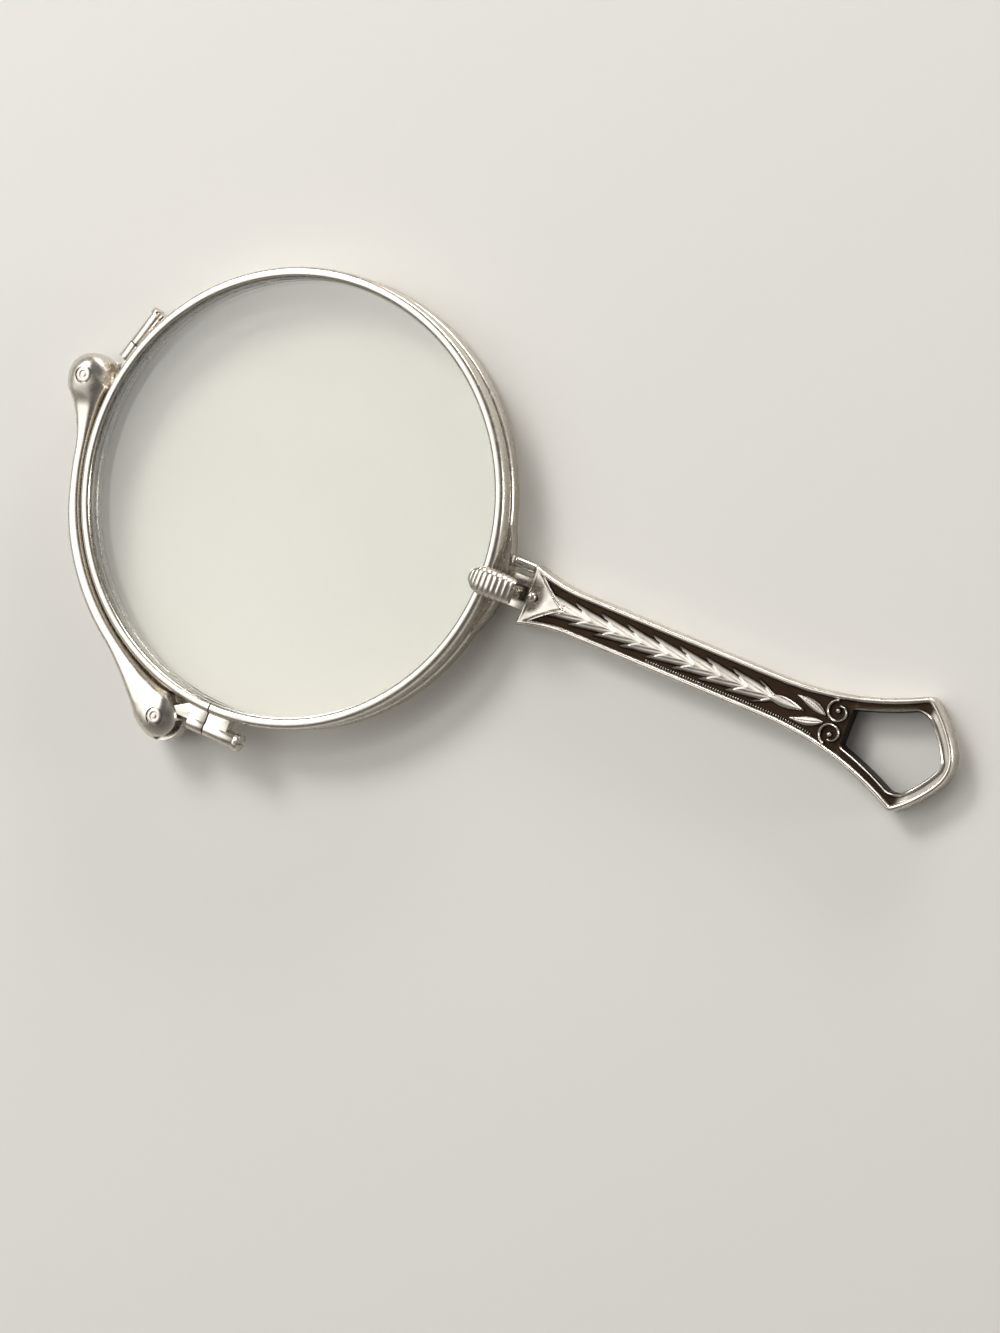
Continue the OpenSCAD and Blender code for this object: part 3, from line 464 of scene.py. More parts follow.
def bridge_solid():
    """Closed skin of the bridge: rings of points found outward from a line inside the form."""
    reach = math.degrees(math.asin(KNUCKLE_R / PIVOT_R)) * 0.998
    degs = []
    for k in range(BALL_RINGS):
        degs.append(TOP_DEG - reach * math.cos(math.pi / 2 * k / BALL_RINGS))
    for k in range(BAR_RINGS):
        degs.append(TOP_DEG + (BOTTOM_DEG - TOP_DEG) * k / BAR_RINGS)
    for k in range(BALL_RINGS + 1):
        degs.append(BOTTOM_DEG + reach * math.sin(math.pi / 2 * k / BALL_RINGS))
    steps = 64
    made = bmesh.new()
    rings = []
    for deg in degs:
        near_top = max(1 - abs(deg - TOP_DEG) / CORE_TOP_DEG, 0.0)
        near_bottom = max(1 - abs(deg - BOTTOM_DEG) / CORE_BOTTOM_DEG, 0.0)
        weight = max(near_top, near_bottom)
        weight = weight * weight * (3 - 2 * weight)
        outside = max(TOP_DEG - deg, deg - BOTTOM_DEG, 0.0)
        if outside > 0:
            weight = 1.0
        core = CORE_R + (PIVOT_R - CORE_R) * weight
        ring = []
        for i in range(steps):
            a = math.tau * i / steps
            ca, sa = math.cos(a), math.sin(a)
            low, high = 0.0, SEARCH_TO
            for _ in range(SEARCH_STEPS):
                mid = (low + high) / 2
                if bridge_distance(deg, core + mid * ca, mid * sa) < 0:
                    low = mid
                else:
                    high = mid
            r = core + low * ca
            ring.append(made.verts.new((
                r * math.cos(math.radians(deg)) * MM, r * math.sin(math.radians(deg)) * MM,
                (KNUCKLE_H / 2 + low * sa) * MM)))
        rings.append(ring)
    for low, high in zip(rings, rings[1:]):
        for i in range(steps):
            j = (i + 1) % steps
            made.faces.new((low[i], low[j], high[j], high[i]))
    for ring in (rings[0], rings[-1]):
        made.faces.new(ring)
    bmesh.ops.recalc_face_normals(made, faces=made.faces)
    mesh = bpy.data.meshes.new("bridge_bow")
    made.to_mesh(mesh)
    made.free()
    return mesh


def knuckle_centre(deg):
    """Centre of a knuckle in plan, in mm."""
    return (PIVOT_R * math.cos(math.radians(deg)), PIVOT_R * math.sin(math.radians(deg)))


def cutter(outline, low, high):
    """Upright prism over an outline in mm, for cutting."""
    made = bmesh.new()
    bottom = [made.verts.new((x * MM, y * MM, low * MM)) for x, y in outline]
    top = [made.verts.new((x * MM, y * MM, high * MM)) for x, y in outline]
    made.faces.new(bottom)
    made.faces.new(top)
    for i in range(len(outline)):
        j = (i + 1) % len(outline)
        made.faces.new((bottom[i], bottom[j], top[j], top[i]))
    bmesh.ops.recalc_face_normals(made, faces=made.faces)
    mesh = bpy.data.meshes.new("cutter")
    made.to_mesh(mesh)
    made.free()
    tool = bpy.data.objects.new("cutter", mesh)
    bpy.context.scene.collection.objects.link(tool)
    return tool


def disc(centre, radius, steps=48):
    """Outline of a circle in plan."""
    return [(centre[0] + radius * math.cos(math.tau * i / steps),
             centre[1] + radius * math.sin(math.tau * i / steps)) for i in range(steps)]


def carve(mesh, tools):
    """Mesh with every tool cut out of it; the tools are used up."""
    block = bpy.data.objects.new("block", mesh)
    bpy.context.scene.collection.objects.link(block)
    for tool in tools:
        cut = block.modifiers.new("cut", "BOOLEAN")
        cut.operation = "DIFFERENCE"
        cut.solver = "EXACT"
        cut.object = tool
    bpy.context.view_layer.update()
    result = bpy.data.meshes.new_from_object(block.evaluated_get(bpy.context.evaluated_depsgraph_get()))
    bpy.data.objects.remove(block)
    for tool in tools:
        bpy.data.objects.remove(tool)
    return result


FOOT_R, FOOT_DEG = 21.0, math.radians(7.5)
TONGUE_DEG = math.degrees(math.atan2(FOOT_R * math.sin(FOOT_DEG), FOOT_R * math.cos(FOOT_DEG) - PIVOT_R))
SWING_DEG = BOTTOM_DEG - TOP_DEG
SLOT_MARGIN = 25.5
SLOT_STEPS = 12


def slot_outline(ball_deg, start, stop):
    """Sector over the tongue's whole swing, from the knuckle's centre outward."""
    cx, cy = knuckle_centre(ball_deg)
    points = [(cx, cy)]
    for k in range(SLOT_STEPS + 1):
        along = (stop - start + 2 * SLOT_MARGIN) * k / SLOT_STEPS
        a = math.radians(ball_deg + start - SLOT_MARGIN + along)
        points.append((cx + 2 * KNUCKLE_R * math.cos(a), cy + 2 * KNUCKLE_R * math.sin(a)))
    return points


# Cuts as radius, lowest and highest point: seat of the cap, spring's hollow, pin's bore, rivet's recess
TOP_SLOT, BOTTOM_SLOT = (-0.5, 1.69), (3.21, 4.09)
CAP_SEAT, SPRING_HOLLOW = (3.2, -0.6, 0.76), (1.5, 0.5, 4.1)
PIN_BORE, RIVET_RECESS = (0.51, 0.4, 5.5), (0.8, 4.4, 5.6)
tools = [
    cutter(slot_outline(TOP_DEG, -TONGUE_DEG, SWING_DEG - TONGUE_DEG), *TOP_SLOT),
    cutter(slot_outline(BOTTOM_DEG, TONGUE_DEG - SWING_DEG, TONGUE_DEG), *BOTTOM_SLOT)]
for ball_deg in (TOP_DEG, BOTTOM_DEG):
    for radius, low, high in (CAP_SEAT, SPRING_HOLLOW, PIN_BORE, RIVET_RECESS):
        tools.append(cutter(disc(knuckle_centre(ball_deg), radius), low, high))
bow_mesh = carve(bridge_solid(), tools)
bow_mesh.materials.clear()
bow_mesh.materials.append(knuckle_silver)
place_piece("bridge_bow", bow_mesh, "bridge", ["bridge_bar"], sharp_deg=34)


# Struck handle
# Two thin silver shells struck in a die and soldered edge to edge, so the relief runs over one
# skin: a rolled border, a sunk ground, laurel leaves on a stem, a bud, two scrolls and the loop.
# Fingers have kept the high lines bright; the ground is brown, partly with tarnish and partly with painted
# shade.
# Struck silver: bright where the relief stands up, brown in the sunk ground from sulphide and painted shade
struck_silver = worn_silver("die_struck_silver", hollow="sunk", rough=0.24, tarnish_and_shade=1.0,
                            dark="#35291F")

MOUTH_X, MOUTH_HOLLOW = 23.5, 0.15
HORN_HALF, SHANK_HALF, CORNER_HALF = 2.85, 2.0, 5.3
NECK_X, FLARE_X, CORNER_X, TIP_X = 28.5, 47.0, 60.8, 65.0
JOINT_X, BAND_W, TIP_SWELL, FLARE_POWER = 54.4, 1.35, 0.5, 2.2
SHELL_T = 1.2
GROUND = 0.80
EDGE_Z = 0.70
BEAD, ROLL_MORE = 0.27, 0.02
TIP_CUT, TIP_CURVE, TIP_FROM_X, TIP_HALF = 0.355, 0.168, 62, 1.75
OUTLINE_STEP = 0.085


def side_half(x):
    """Half width of the handle: it narrows from the horns to the shank and flares to the loop."""
    if x < NECK_X:
        return SHANK_HALF + (HORN_HALF - SHANK_HALF) * ((NECK_X - x) / (NECK_X - MOUTH_X)) ** 2
    if x < FLARE_X:
        return SHANK_HALF
    return SHANK_HALF + (CORNER_HALF - SHANK_HALF) * ((x - FLARE_X) / (CORNER_X - FLARE_X)) ** FLARE_POWER


chord = math.hypot(TIP_X - CORNER_X, CORNER_HALF)
TIP_R = (chord ** 2 / 4 + TIP_SWELL ** 2) / (2 * TIP_SWELL)


def tip_arc(inset, steps=24):
    """Upper end arc of the loop, from the corner to the tip, drawn in by an inset."""
    heading = math.atan2(-CORNER_HALF, TIP_X - CORNER_X)
    mid = Vector(((TIP_X + CORNER_X) / 2, CORNER_HALF / 2))
    up = Vector((math.cos(heading + math.pi / 2), math.sin(heading + math.pi / 2)))
    centre = mid - up * (TIP_R - TIP_SWELL)
    spread = math.asin(chord / 2 / TIP_R)
    angles = [heading + math.pi / 2 + spread - 2 * spread * k / steps for k in range(steps + 1)]
    return [(centre.x + (TIP_R - inset) * math.cos(a), centre.y + (TIP_R - inset) * math.sin(a))
            for a in angles]


def mirror_closed(upper):
    """Closed outline from its upper half; points on the middle line appear once."""
    lower = [(x, -y) for x, y in reversed(upper) if y > 1e-6]
    return upper + lower


def resampled(points, spacing):
    """Closed outline with its points evenly spaced, kept at sharp corners."""
    out = []
    for a, b in zip(points, points[1:] + points[:1]):
        length = math.dist(a, b)
        count = max(1, round(length / spacing))
        for k in range(count):
            t = k / count
            out.append((a[0] + (b[0] - a[0]) * t, a[1] + (b[1] - a[1]) * t))
    return out


def soften_corner(points, corner, reach):
    """Replaces the points near one corner of an outline by a curve drawn toward it."""
    near = [i for i, p in enumerate(points) if math.dist(p, corner) < reach]
    first, last = near[0] - 1, near[-1] + 1
    a, b, c = Vector(points[first]), Vector(corner), Vector(points[last % len(points)])
    bend = [tuple(a * (1 - t) ** 2 + b * 2 * t * (1 - t) + c * t * t)
            for t in [k / 8 for k in range(1, 8)]]
    return points[:near[0]] + bend + points[near[-1] + 1:]


def side_points(x0, x1, steps, first=0):
    """Points along the handle's upper side from one x to another."""
    places = [x0 + (x1 - x0) * k / steps for k in range(first, steps + 1)]
    return [(x, side_half(x)) for x in places]


# The outer outline: hollow mouth, sides, corners, and a tip that is rounded within the loop's arcs
mouth_r = (HORN_HALF ** 2 + MOUTH_HOLLOW ** 2) / (2 * MOUTH_HOLLOW)
upper = [(MOUTH_X + MOUTH_HOLLOW - mouth_r + math.sqrt(mouth_r ** 2 - y * y), y)
         for y in [HORN_HALF * k / 20 for k in range(21)]]
upper += side_points(MOUTH_X, NECK_X, 40, 1)[:-1] + side_points(NECK_X, CORNER_X, 160)
upper = soften_corner(upper + tip_arc(0)[1:], (CORNER_X, CORNER_HALF), 0.45)
upper = soften_corner(upper, (MOUTH_X, HORN_HALF), 0.2)
upper = [(min(x, TIP_X - TIP_CUT - TIP_CURVE * y * y) if x > TIP_FROM_X and y < TIP_HALF else x, y)
         for x, y in upper]
outer = mirror_closed([(x, y) for x, y in upper if y > 1e-4 or x < NECK_X] + [(TIP_X - TIP_CUT, 0.0)])
outer = resampled(outer, OUTLINE_STEP)

# The hole: a flat end at the scrolls, sides one band's width in, and the tip's arcs drawn in
HOLE_X0, HOLE_X1 = JOINT_X + 0.4, CORNER_X - 0.4
hole_upper = [(HOLE_X0, 0.0), (HOLE_X0, side_half(HOLE_X0) - BAND_W - 0.1)]
hole_upper += [(x, y - BAND_W) for x, y in side_points(HOLE_X0, HOLE_X1, 40, 2)]
hole_upper += [p for p in tip_arc(BAND_W * 0.93) if p[0] > CORNER_X + 0.1 and p[1] > 0.02]
hole_upper = soften_corner(hole_upper, (HOLE_X1 + 0.2, side_half(HOLE_X1) - BAND_W - 0.05), 0.55)
hole = resampled(mirror_closed(hole_upper), OUTLINE_STEP)


def smooth(t):
    """Eased step from 0 to 1."""
    t = min(max(t, 0.0), 1.0)
    return t * t * (3 - 2 * t)


# The garland: pairs of leaves whose tips turn out, each tip lying over the leaf before it
LEAF_PAIRS, LEAF_PITCH, FIRST_TIP, TIP_OUT = 9, 2.57, 25.45, 1.1
LEAF_LEN, LAST_LEAF_LEN, OUTER_POWER = 6.0, 2.3, 1.5
INNER_FALL, INNER_RUN, INNER_POWER = 0.85, 1.37, 0.8
LEAF_RISE, LEAF_FALL, TIP_RISE, TIP_FADE = 0.33, 0.26, 0.17, 0.9
MARGIN_DROP, MARGIN_W = 0.12, 0.16
# Veins are drawn wider than real ones so that they show
VEIN_RISE, VEIN_PITCH = 0.006, 0.3


def leaf_length(i):
    """Length of leaf i; the last one is cut short by the bud."""
    return LEAF_LEN if i < LEAF_PAIRS - 1 else LAST_LEAF_LEN


def leaf_sides(i, t):
    """Inner and outer margin of leaf i, as distances from the stem, t mm behind its tip."""
    length = leaf_length(i)
    inner = max(TIP_OUT - INNER_FALL * (t / INNER_RUN) ** INNER_POWER, 0.0)
    outer = TIP_OUT * (1 - (t / length) ** OUTER_POWER) if t < length else 0.0
    return inner, outer


def garland_height(x, off):
    """Height of the uppermost leaf here; its inner margin slopes down onto the leaf below."""
    found = []
    for i in range(LEAF_PAIRS - 1, -1, -1):
        t = x - FIRST_TIP - LEAF_PITCH * i
        if 0 < t < LEAF_LEN:
            inner, outer = leaf_sides(i, t)
            if inner <= off <= outer:
                vein = VEIN_RISE * math.cos((outer - off) * math.tau / VEIN_PITCH)
                body = (GROUND + LEAF_RISE - LEAF_FALL * off + TIP_RISE * math.exp(-t / TIP_FADE) + vein
                        - MARGIN_DROP * (1 - smooth((outer - off) / MARGIN_W)))
                found.append((body, smooth((off - inner) / MARGIN_W) if inner > 0 else 1.0))
    if not found:
        return None
    level = found[-1][0]
    for body, share in reversed(found[:-1]):
        level += (body - level) * share
    return level


# The bud at the end of the stem, and the two side leaves that lean back beside it
BUD_X0, BUD_X1, BUD_HALF, BUD_LIFT, BUD_RISE = 47.5, 50.84, 0.5, 0.04, 0.34
SIDE_BASE, SIDE_TIP, SIDE_HALF, SIDE_CURL = (52.75, 0.3), (49.7, 1.05), 0.42, 0.12
SIDE_LIFT, SIDE_RISE, SPINE_DEEP, SPINE_W = 0.08, 0.22, 0.05, 0.04


def bud_side(x):
    """Half width of the bud, fullest toward its base."""
    u = min(max((x - BUD_X0) / (BUD_X1 - BUD_X0), 0.0), 1.0)
    return BUD_HALF * math.sin(math.pi * u ** 0.72) ** 0.85


def side_leaf_place(x, off):
    """Distance along a side leaf from base to tip, 0 to 1, and across it from its spine."""
    dx, dy = SIDE_TIP[0] - SIDE_BASE[0], SIDE_TIP[1] - SIDE_BASE[1]
    length = math.hypot(dx, dy)
    u = ((x - SIDE_BASE[0]) * dx + (off - SIDE_BASE[1]) * dy) / length ** 2
    w = ((x - SIDE_BASE[0]) * -dy + (off - SIDE_BASE[1]) * dx) / length
    return u, w + SIDE_CURL * math.sin(math.pi * min(max(u, 0), 1))


def side_leaf_half(u):
    """Half width of a side leaf, u from 0 at its base to 1 at its tip."""
    return SIDE_HALF * math.sin(math.pi * min(max(u, 0.0), 1.0) ** 0.8)


# Two scrolls at the root of the loop: nearly a full turn, then a curl in to a round eye
SCROLL_X, SCROLL_Y, SCROLL_REACH = 53.6, 1.08, 1.12
START_DEG, SWEEP_DEG = 100, 350
TURN_R, TURN_FALL, CURL_R, CURL_FALL = 0.90, 0.05, 0.87, 0.46
CURL_FROM, CURL_SPAN = 0.62, 0.38
EYE_R, SCROLL_LINE, SCROLL_SINK, LINE_RISE, EYE_RISE = 0.27, 0.15, 0.06, 0.44, 0.42
FAR = 9.0


def scroll_path(t):
    """Distance of the scroll's line from its eye, t from 0 at its start to 1 at its end."""
    if t < CURL_FROM:
        return TURN_R - TURN_FALL * t
    return CURL_R - CURL_FALL * ((t - CURL_FROM) / CURL_SPAN) ** 1.2


def scroll_height(x, off):
    """Scroll: a raised line that winds in to a round eye, over a sunk disc."""
    dx, dy = x - SCROLL_X, off - SCROLL_Y
    r = math.hypot(dx, dy)
    if r > SCROLL_REACH:
        return None
    a = math.degrees(math.atan2(dy, dx))
    best = FAR
    for turn_deg in (0, 360, 720):
        t = (a + turn_deg - START_DEG) / SWEEP_DEG
        if 0 <= t <= 1:
            best = min(best, abs(r - scroll_path(t)))
    line = math.sqrt(max(1 - (best / SCROLL_LINE) ** 2, 0.0)) if best < SCROLL_LINE else 0.0
    eye = math.sqrt(max(1 - (r / EYE_R) ** 2, 0.0)) if r < EYE_R else 0.0
    return GROUND - SCROLL_SINK + max(LINE_RISE * line, EYE_RISE * eye)


# The shield at the mouth: a raised point with a ledge along it and a dish for the rivet
SHIELD_X1, SHIELD_HALF, SHIELD_LEN, SHIELD_BEVEL = 27.4, 2.75, 3.7, 0.12
LEDGE, LEDGE_DROP, LEDGE_IN, LEDGE_FLAT, LEDGE_OUT = 0.26, 0.10, 0.08, 0.2, 0.06
DISH_X, DISH_LEN, DISH_HALF, DISH_DEEP = 24.1, 0.8, 1.2, 0.20
# Fine lines struck in the ground, then the loop's channel and the rounding round its hole
LINES_X, LINES_RUN, LINE_TOOTH, LINE_PITCH = 41, 3, 0.012, 0.2
CHANNEL_Z, CHANNEL_RISE, CHANNEL_X, CHANNEL_RUN = 0.86, 0.16, 60.6, 1.4
LIP_RISE, LIP_AT, LIP_W, HOLE_DROP, HOLE_ROUND = 0.20, 0.17, 0.11, 0.30, 0.14
# Colour stays bright above this height, where fingers rub, and darkens to brown below it over this span:
# tarnish and painted shade
BRIGHT_ABOVE_Z, DARKENING_SPAN = 1.08, 0.2


def shield_edge(x):
    """Distance of the shield's edge from the middle line."""
    return SHIELD_HALF * (max(SHIELD_X1 - x, 0.0) / SHIELD_LEN) ** 1.3


def relief(x, y, from_edge, from_hole):
    """Height of the struck skin above the handle's middle plane, and how sunk it lies, which darkens its
    colour as tarnish and painted shade.
    """
    off = abs(y)
    level = GROUND
    if x > LINES_X:
        level += LINE_TOOTH * math.sin(off * math.tau / LINE_PITCH) * smooth((x - LINES_X) / LINES_RUN)
    leaf = garland_height(x, off)
    if leaf is not None:
        level = leaf
    if BUD_X0 < x < BUD_X1 and off < bud_side(x):
        level = max(level, GROUND + BUD_LIFT + BUD_RISE * math.sqrt(1 - (off / bud_side(x)) ** 2))
    if SIDE_TIP[0] - 0.5 < x < SIDE_BASE[0] + 0.3:
        u, w = side_leaf_place(x, off)
        half_w = side_leaf_half(u)
        if abs(w) < half_w:
            level = (GROUND + SIDE_LIFT + SIDE_RISE * math.sqrt(1 - (w / half_w) ** 2)
                     - SPINE_DEEP * math.exp(-(w / SPINE_W) ** 2))
    whorl = scroll_height(x, off)
    if whorl is not None:
        level = whorl
    if x < SHIELD_X1:
        past = off - shield_edge(x)
        if past < 0:
            dish = math.exp(-((x - DISH_X) / DISH_LEN) ** 2 - (y / DISH_HALF) ** 2)
            bevel = SHIELD_BEVEL * (1 - smooth(-past / SHIELD_BEVEL))
            level = SHELL_T - 0.01 - DISH_DEEP * dish - bevel
        elif past < LEDGE:
            level = (SHELL_T - LEDGE_DROP - LEDGE_DROP * (1 - smooth(past / LEDGE_IN))
                     - LEDGE_DROP * smooth((past - LEDGE_FLAT) / LEDGE_OUT))
    in_loop = smooth((x - JOINT_X - 0.2) / 0.5)
    if in_loop > 0:
        channel = CHANNEL_Z + CHANNEL_RISE * smooth((x - CHANNEL_X) / CHANNEL_RUN)
        lip = LIP_RISE * math.exp(-((from_hole - LIP_AT) / LIP_W) ** 2)
        near = 1 - min(from_hole / HOLE_ROUND, 1)
        drop = HOLE_DROP * (1 - math.sqrt(max(1 - near ** 2, 0.0)))
        level = level * (1 - in_loop) + (channel + lip - drop) * in_loop
    if from_edge < BEAD:
        height = EDGE_Z + (SHELL_T - EDGE_Z) * math.sqrt(max(1 - (1 - from_edge / BEAD) ** 2, 0.0))
    else:
        roll = max(1 - ((from_edge - BEAD) / (BEAD + ROLL_MORE)) ** 2, 0.0)
        rim = GROUND + (SHELL_T - GROUND) * math.sqrt(roll)
        height = max(level, rim)
    height = min(height, SHELL_T)
    # The lower the skin lies, away from the edge, the darker its colour: tarnish and painted shade
    sunk = smooth((BRIGHT_ABOVE_Z - height) / DARKENING_SPAN) * smooth((from_edge - 0.1) / 0.3)
    return height, sunk


BINS_PER_MM = 4


def inside(points, poly):
    """Which of the points lie within a closed outline, whose edges are sorted into bins along x."""
    flags = []
    bins = {}
    for a, b in zip(poly, poly[1:] + poly[:1]):
        low, high = sorted((a[0], b[0]))
        for key in range(int(low * BINS_PER_MM) - 1, int(high * BINS_PER_MM) + 2):
            bins.setdefault(key, []).append((a, b))
    for x, y in points:
        odd = False
        for a, b in bins.get(int(x * BINS_PER_MM), ()):
            if (a[0] > x) != (b[0] > x):
                if y < a[1] + (b[1] - a[1]) * (x - a[0]) / (b[0] - a[0]):
                    odd = not odd
        flags.append(odd)
    return flags


def tree_of(points):
    """Search tree that finds the nearest of these points in plan."""
    found = kdtree.KDTree(len(points))
    for i, (x, y) in enumerate(points):
        found.insert((x, y, 0), i)
    found.balance()
    return found


def offset_points(poly, found, distance, inward):
    """Points at one distance from an outline, left out where its corners would fold them."""
    out = []
    n = len(poly)
    for i in range(n):
        before, here, after = poly[i - 1], poly[i], poly[(i + 1) % n]
        run = Vector((after[0] - before[0], after[1] - before[1])).normalized()
        side = Vector((-run.y, run.x)) * inward
        p = (here[0] + side.x * distance, here[1] + side.y * distance)
        if abs(found.find((p[0], p[1], 0))[2] - distance) < 0.015 + 0.02 * distance:
            out.append(p)
    return out


def area_of(poly):
    """Area of an outline, positive where it runs anticlockwise."""
    return sum(a[0] * b[1] - b[0] * a[1] for a, b in zip(poly, poly[1:] + poly[:1])) / 2


# The mesh's points: rows along both outlines, both sides of every step in the relief, then a grid
DENSE_STEP, LEAST_APART, CREASE_STEP, GRID = 0.02, 0.03, 0.055, 0.064
ROW_RATIO = 0.866
RIM_ROWS = (0.03, 0.075, 0.13, 0.20, 0.28, 0.36, 0.44, 0.52, 0.60)
HOLE_ROWS = (0.03, 0.07, 0.12, 0.18, 0.26, 0.35, 0.45)
LINE_ROWS = (-0.165, -0.135, -0.08, 0.0, 0.08, 0.135, 0.165)
SHIELD_ROWS, LEDGE_ROWS = (-0.14, -0.07, -0.02, 0.02, 0.06, 0.10), (-0.06, -0.02, 0.02)
dense_outer = tree_of(resampled(outer, DENSE_STEP))
dense_hole = tree_of(resampled(hole, DENSE_STEP))
plan = []
seen = set()


def plan_key(x, y):
    """Cell of the plan that a point lies in; a cell holds one point at most."""
    return round(x / LEAST_APART), round(y / LEAST_APART)


def add_plan(points):
    """Adds the points that have no other close by."""
    for x, y in points:
        key = plan_key(x, y)
        if key not in seen:
            seen.add(key)
            plan.append((x, y))


for poly in (outer, hole):
    plan.extend(poly)
    seen.update(plan_key(x, y) for x, y in poly)
crease = []


def follow(points, offsets=(-0.025, 0.025)):
    """Mesh points on both sides of a line where the relief steps, on both halves of the handle."""
    line = resampled_open(points, CREASE_STEP)
    for a, b in zip(line, line[1:]):
        run = Vector((b[0] - a[0], b[1] - a[1]))
        if run.length < 1e-6:
            continue
        side = Vector((-run.y, run.x)).normalized()
        for offset in offsets:
            x, y = a[0] + side.x * offset, a[1] + side.y * offset
            crease.extend([(x, y), (x, -y)])


def resampled_open(points, spacing):
    """Open line with its points evenly spaced, its ends kept."""
    out = [points[0]]
    for a, b in zip(points, points[1:]):
        count = max(1, round(math.dist(a, b) / spacing))
        out += [(a[0] + (b[0] - a[0]) * k / count, a[1] + (b[1] - a[1]) * k / count)
                for k in range(1, count + 1)]
    return out


for i in range(LEAF_PAIRS):
    tip_at = FIRST_TIP + LEAF_PITCH * i
    reach_t = leaf_length(i)
    inner_line, outer_line = [], []
    for k in range(61):
        t = reach_t * (k / 60) ** 1.5
        inner, outer_off = leaf_sides(i, t)
        if inner > 0.03:
            inner_line.append((tip_at + t, inner))
        if outer_off > 0.03:
            outer_line.append((tip_at + t, outer_off))
    follow(inner_line)
    follow(outer_line)
follow([(BUD_X0 + (BUD_X1 - BUD_X0) * k / 60, bud_side(BUD_X0 + (BUD_X1 - BUD_X0) * k / 60))
        for k in range(61)])
span = Vector(SIDE_TIP) - Vector(SIDE_BASE)
across = Vector((-span.y, span.x)).normalized()
for side in (-1, 1):
    follow([tuple(Vector(SIDE_BASE) + span * (k / 50)
                  + across * (side * side_leaf_half(k / 50) - SIDE_CURL * math.sin(math.pi * k / 50)))
            for k in range(51)])
follow([(SCROLL_X + scroll_path(k / 120) * math.cos(math.radians(START_DEG + SWEEP_DEG * k / 120)),
         SCROLL_Y + scroll_path(k / 120) * math.sin(math.radians(START_DEG + SWEEP_DEG * k / 120)))
        for k in range(121)], LINE_ROWS)
for beyond, offsets in ((0.0, SHIELD_ROWS), (LEDGE, LEDGE_ROWS)):
    follow([(MOUTH_X + (SHIELD_X1 - MOUTH_X) * k / 60,
             shield_edge(MOUTH_X + (SHIELD_X1 - MOUTH_X) * k / 60) + beyond) for k in range(61)], offsets)
turn_outer = 1 if area_of(outer) > 0 else -1
turn_hole = -1 if area_of(hole) > 0 else 1
for distance in RIM_ROWS:
    add_plan(offset_points(outer, dense_outer, distance, turn_outer))
for distance in HOLE_ROWS:
    add_plan(offset_points(hole, dense_hole, distance, turn_hole))
crease = [p for p, ok, cut in zip(crease, inside(crease, outer), inside(crease, hole))
          if ok and not cut and dense_outer.find((p[0], p[1], 0))[2] > 0.05]
add_plan(crease)
dense_crease = tree_of(crease)
fill = []
for row in range(int(2 * CORNER_HALF / (GRID * ROW_RATIO)) + 1):
    y = -CORNER_HALF + row * GRID * ROW_RATIO
    for col in range(int((TIP_X - MOUTH_X) / GRID) + 1):
        x = MOUTH_X + (col + 0.5 * (row % 2)) * GRID
        if abs(y) < side_half(min(x, CORNER_X)) and x < TIP_X:
            fill.append((x, y))
keep = [p for p, ok, cut in zip(fill, inside(fill, outer), inside(fill, hole)) if ok and not cut]
add_plan([p for p in keep if dense_outer.find((p[0], p[1], 0))[2] > 0.63
          and dense_crease.find((p[0], p[1], 0))[2] > 0.036
          and (p[0] < JOINT_X or dense_hole.find((p[0], p[1], 0))[2] > 0.5)])
n_outer, n_hole = len(outer), len(hole)
rim_edges = [(i, (i + 1) % n_outer) for i in range(n_outer)]
hole_edges = [(n_outer + i, n_outer + (i + 1) % n_hole) for i in range(n_hole)]
skin = geometry.delaunay_2d_cdt([Vector(p) for p in plan], rim_edges + hole_edges, [], 0, 1e-6)
skin_points, skin_faces = skin[0], skin[2]
centres = [(sum(skin_points[i].x for i in f) / len(f), sum(skin_points[i].y for i in f) / len(f))
           for f in skin_faces]
skin_faces = [f for f, ok, cut in zip(skin_faces, inside(centres, outer), inside(centres, hole))
              if ok and not cut]
heights = []
for p in skin_points:
    heights.append(relief(p.x, p.y, dense_outer.find((p.x, p.y, 0))[2],
                          dense_hole.find((p.x, p.y, 0))[2] if p.x > 50 else FAR))


def struck_shell(name, side, nodes):
    """One shell: the relief skin, its side walls, and a flat back at the soldered seam."""
    middle = SHELL_T
    made = bmesh.new()
    # Each point carries its darkening, tarnish and painted shade, for the material's sunk attribute
    depth = made.verts.layers.float.new("sunk")
    verts = []
    for p, (h, sunk) in zip(skin_points, heights):
        v = made.verts.new((p.x * MM, p.y * MM, (middle + side * h) * MM))
        v[depth] = sunk
        verts.append(v)
    for f in skin_faces:
        try:
            made.faces.new([verts[i] for i in f])
        except ValueError:
            pass
    rim = [e for e in made.edges if len(e.link_faces) == 1]
    low = bmesh.ops.extrude_edge_only(made, edges=rim)["geom"]
    for v in [g for g in low if isinstance(g, bmesh.types.BMVert)]:
        v.co.z = (middle + side * 0.05) * MM
    rim = [g for g in low if isinstance(g, bmesh.types.BMEdge) and len(g.link_faces) == 1]
    seam = bmesh.ops.extrude_edge_only(made, edges=rim)["geom"]
    seam_verts = [g for g in seam if isinstance(g, bmesh.types.BMVert)]
    for v in seam_verts:
        v.co.z = (middle + side * 0.004) * MM
    seam_edges = [g for g in seam if isinstance(g, bmesh.types.BMEdge) and len(g.link_faces) == 1]
    bmesh.ops.triangle_fill(made, edges=seam_edges, use_beauty=False)
    loose = [v for v in made.verts if not v.link_faces]
    bmesh.ops.delete(made, geom=loose, context="VERTS")
    bmesh.ops.recalc_face_normals(made, faces=made.faces)
    mesh = bpy.data.meshes.new(name)
    made.to_mesh(mesh)
    made.free()
    mesh.materials.append(struck_silver)
    return place_piece(name, mesh, "back_frame", nodes, sharp_deg=50)


struck_shell("handle_front_relief", 1, ["handle_front_shell", "handle_loop"])
struck_shell("handle_back_relief", -1, ["handle_back_shell"])

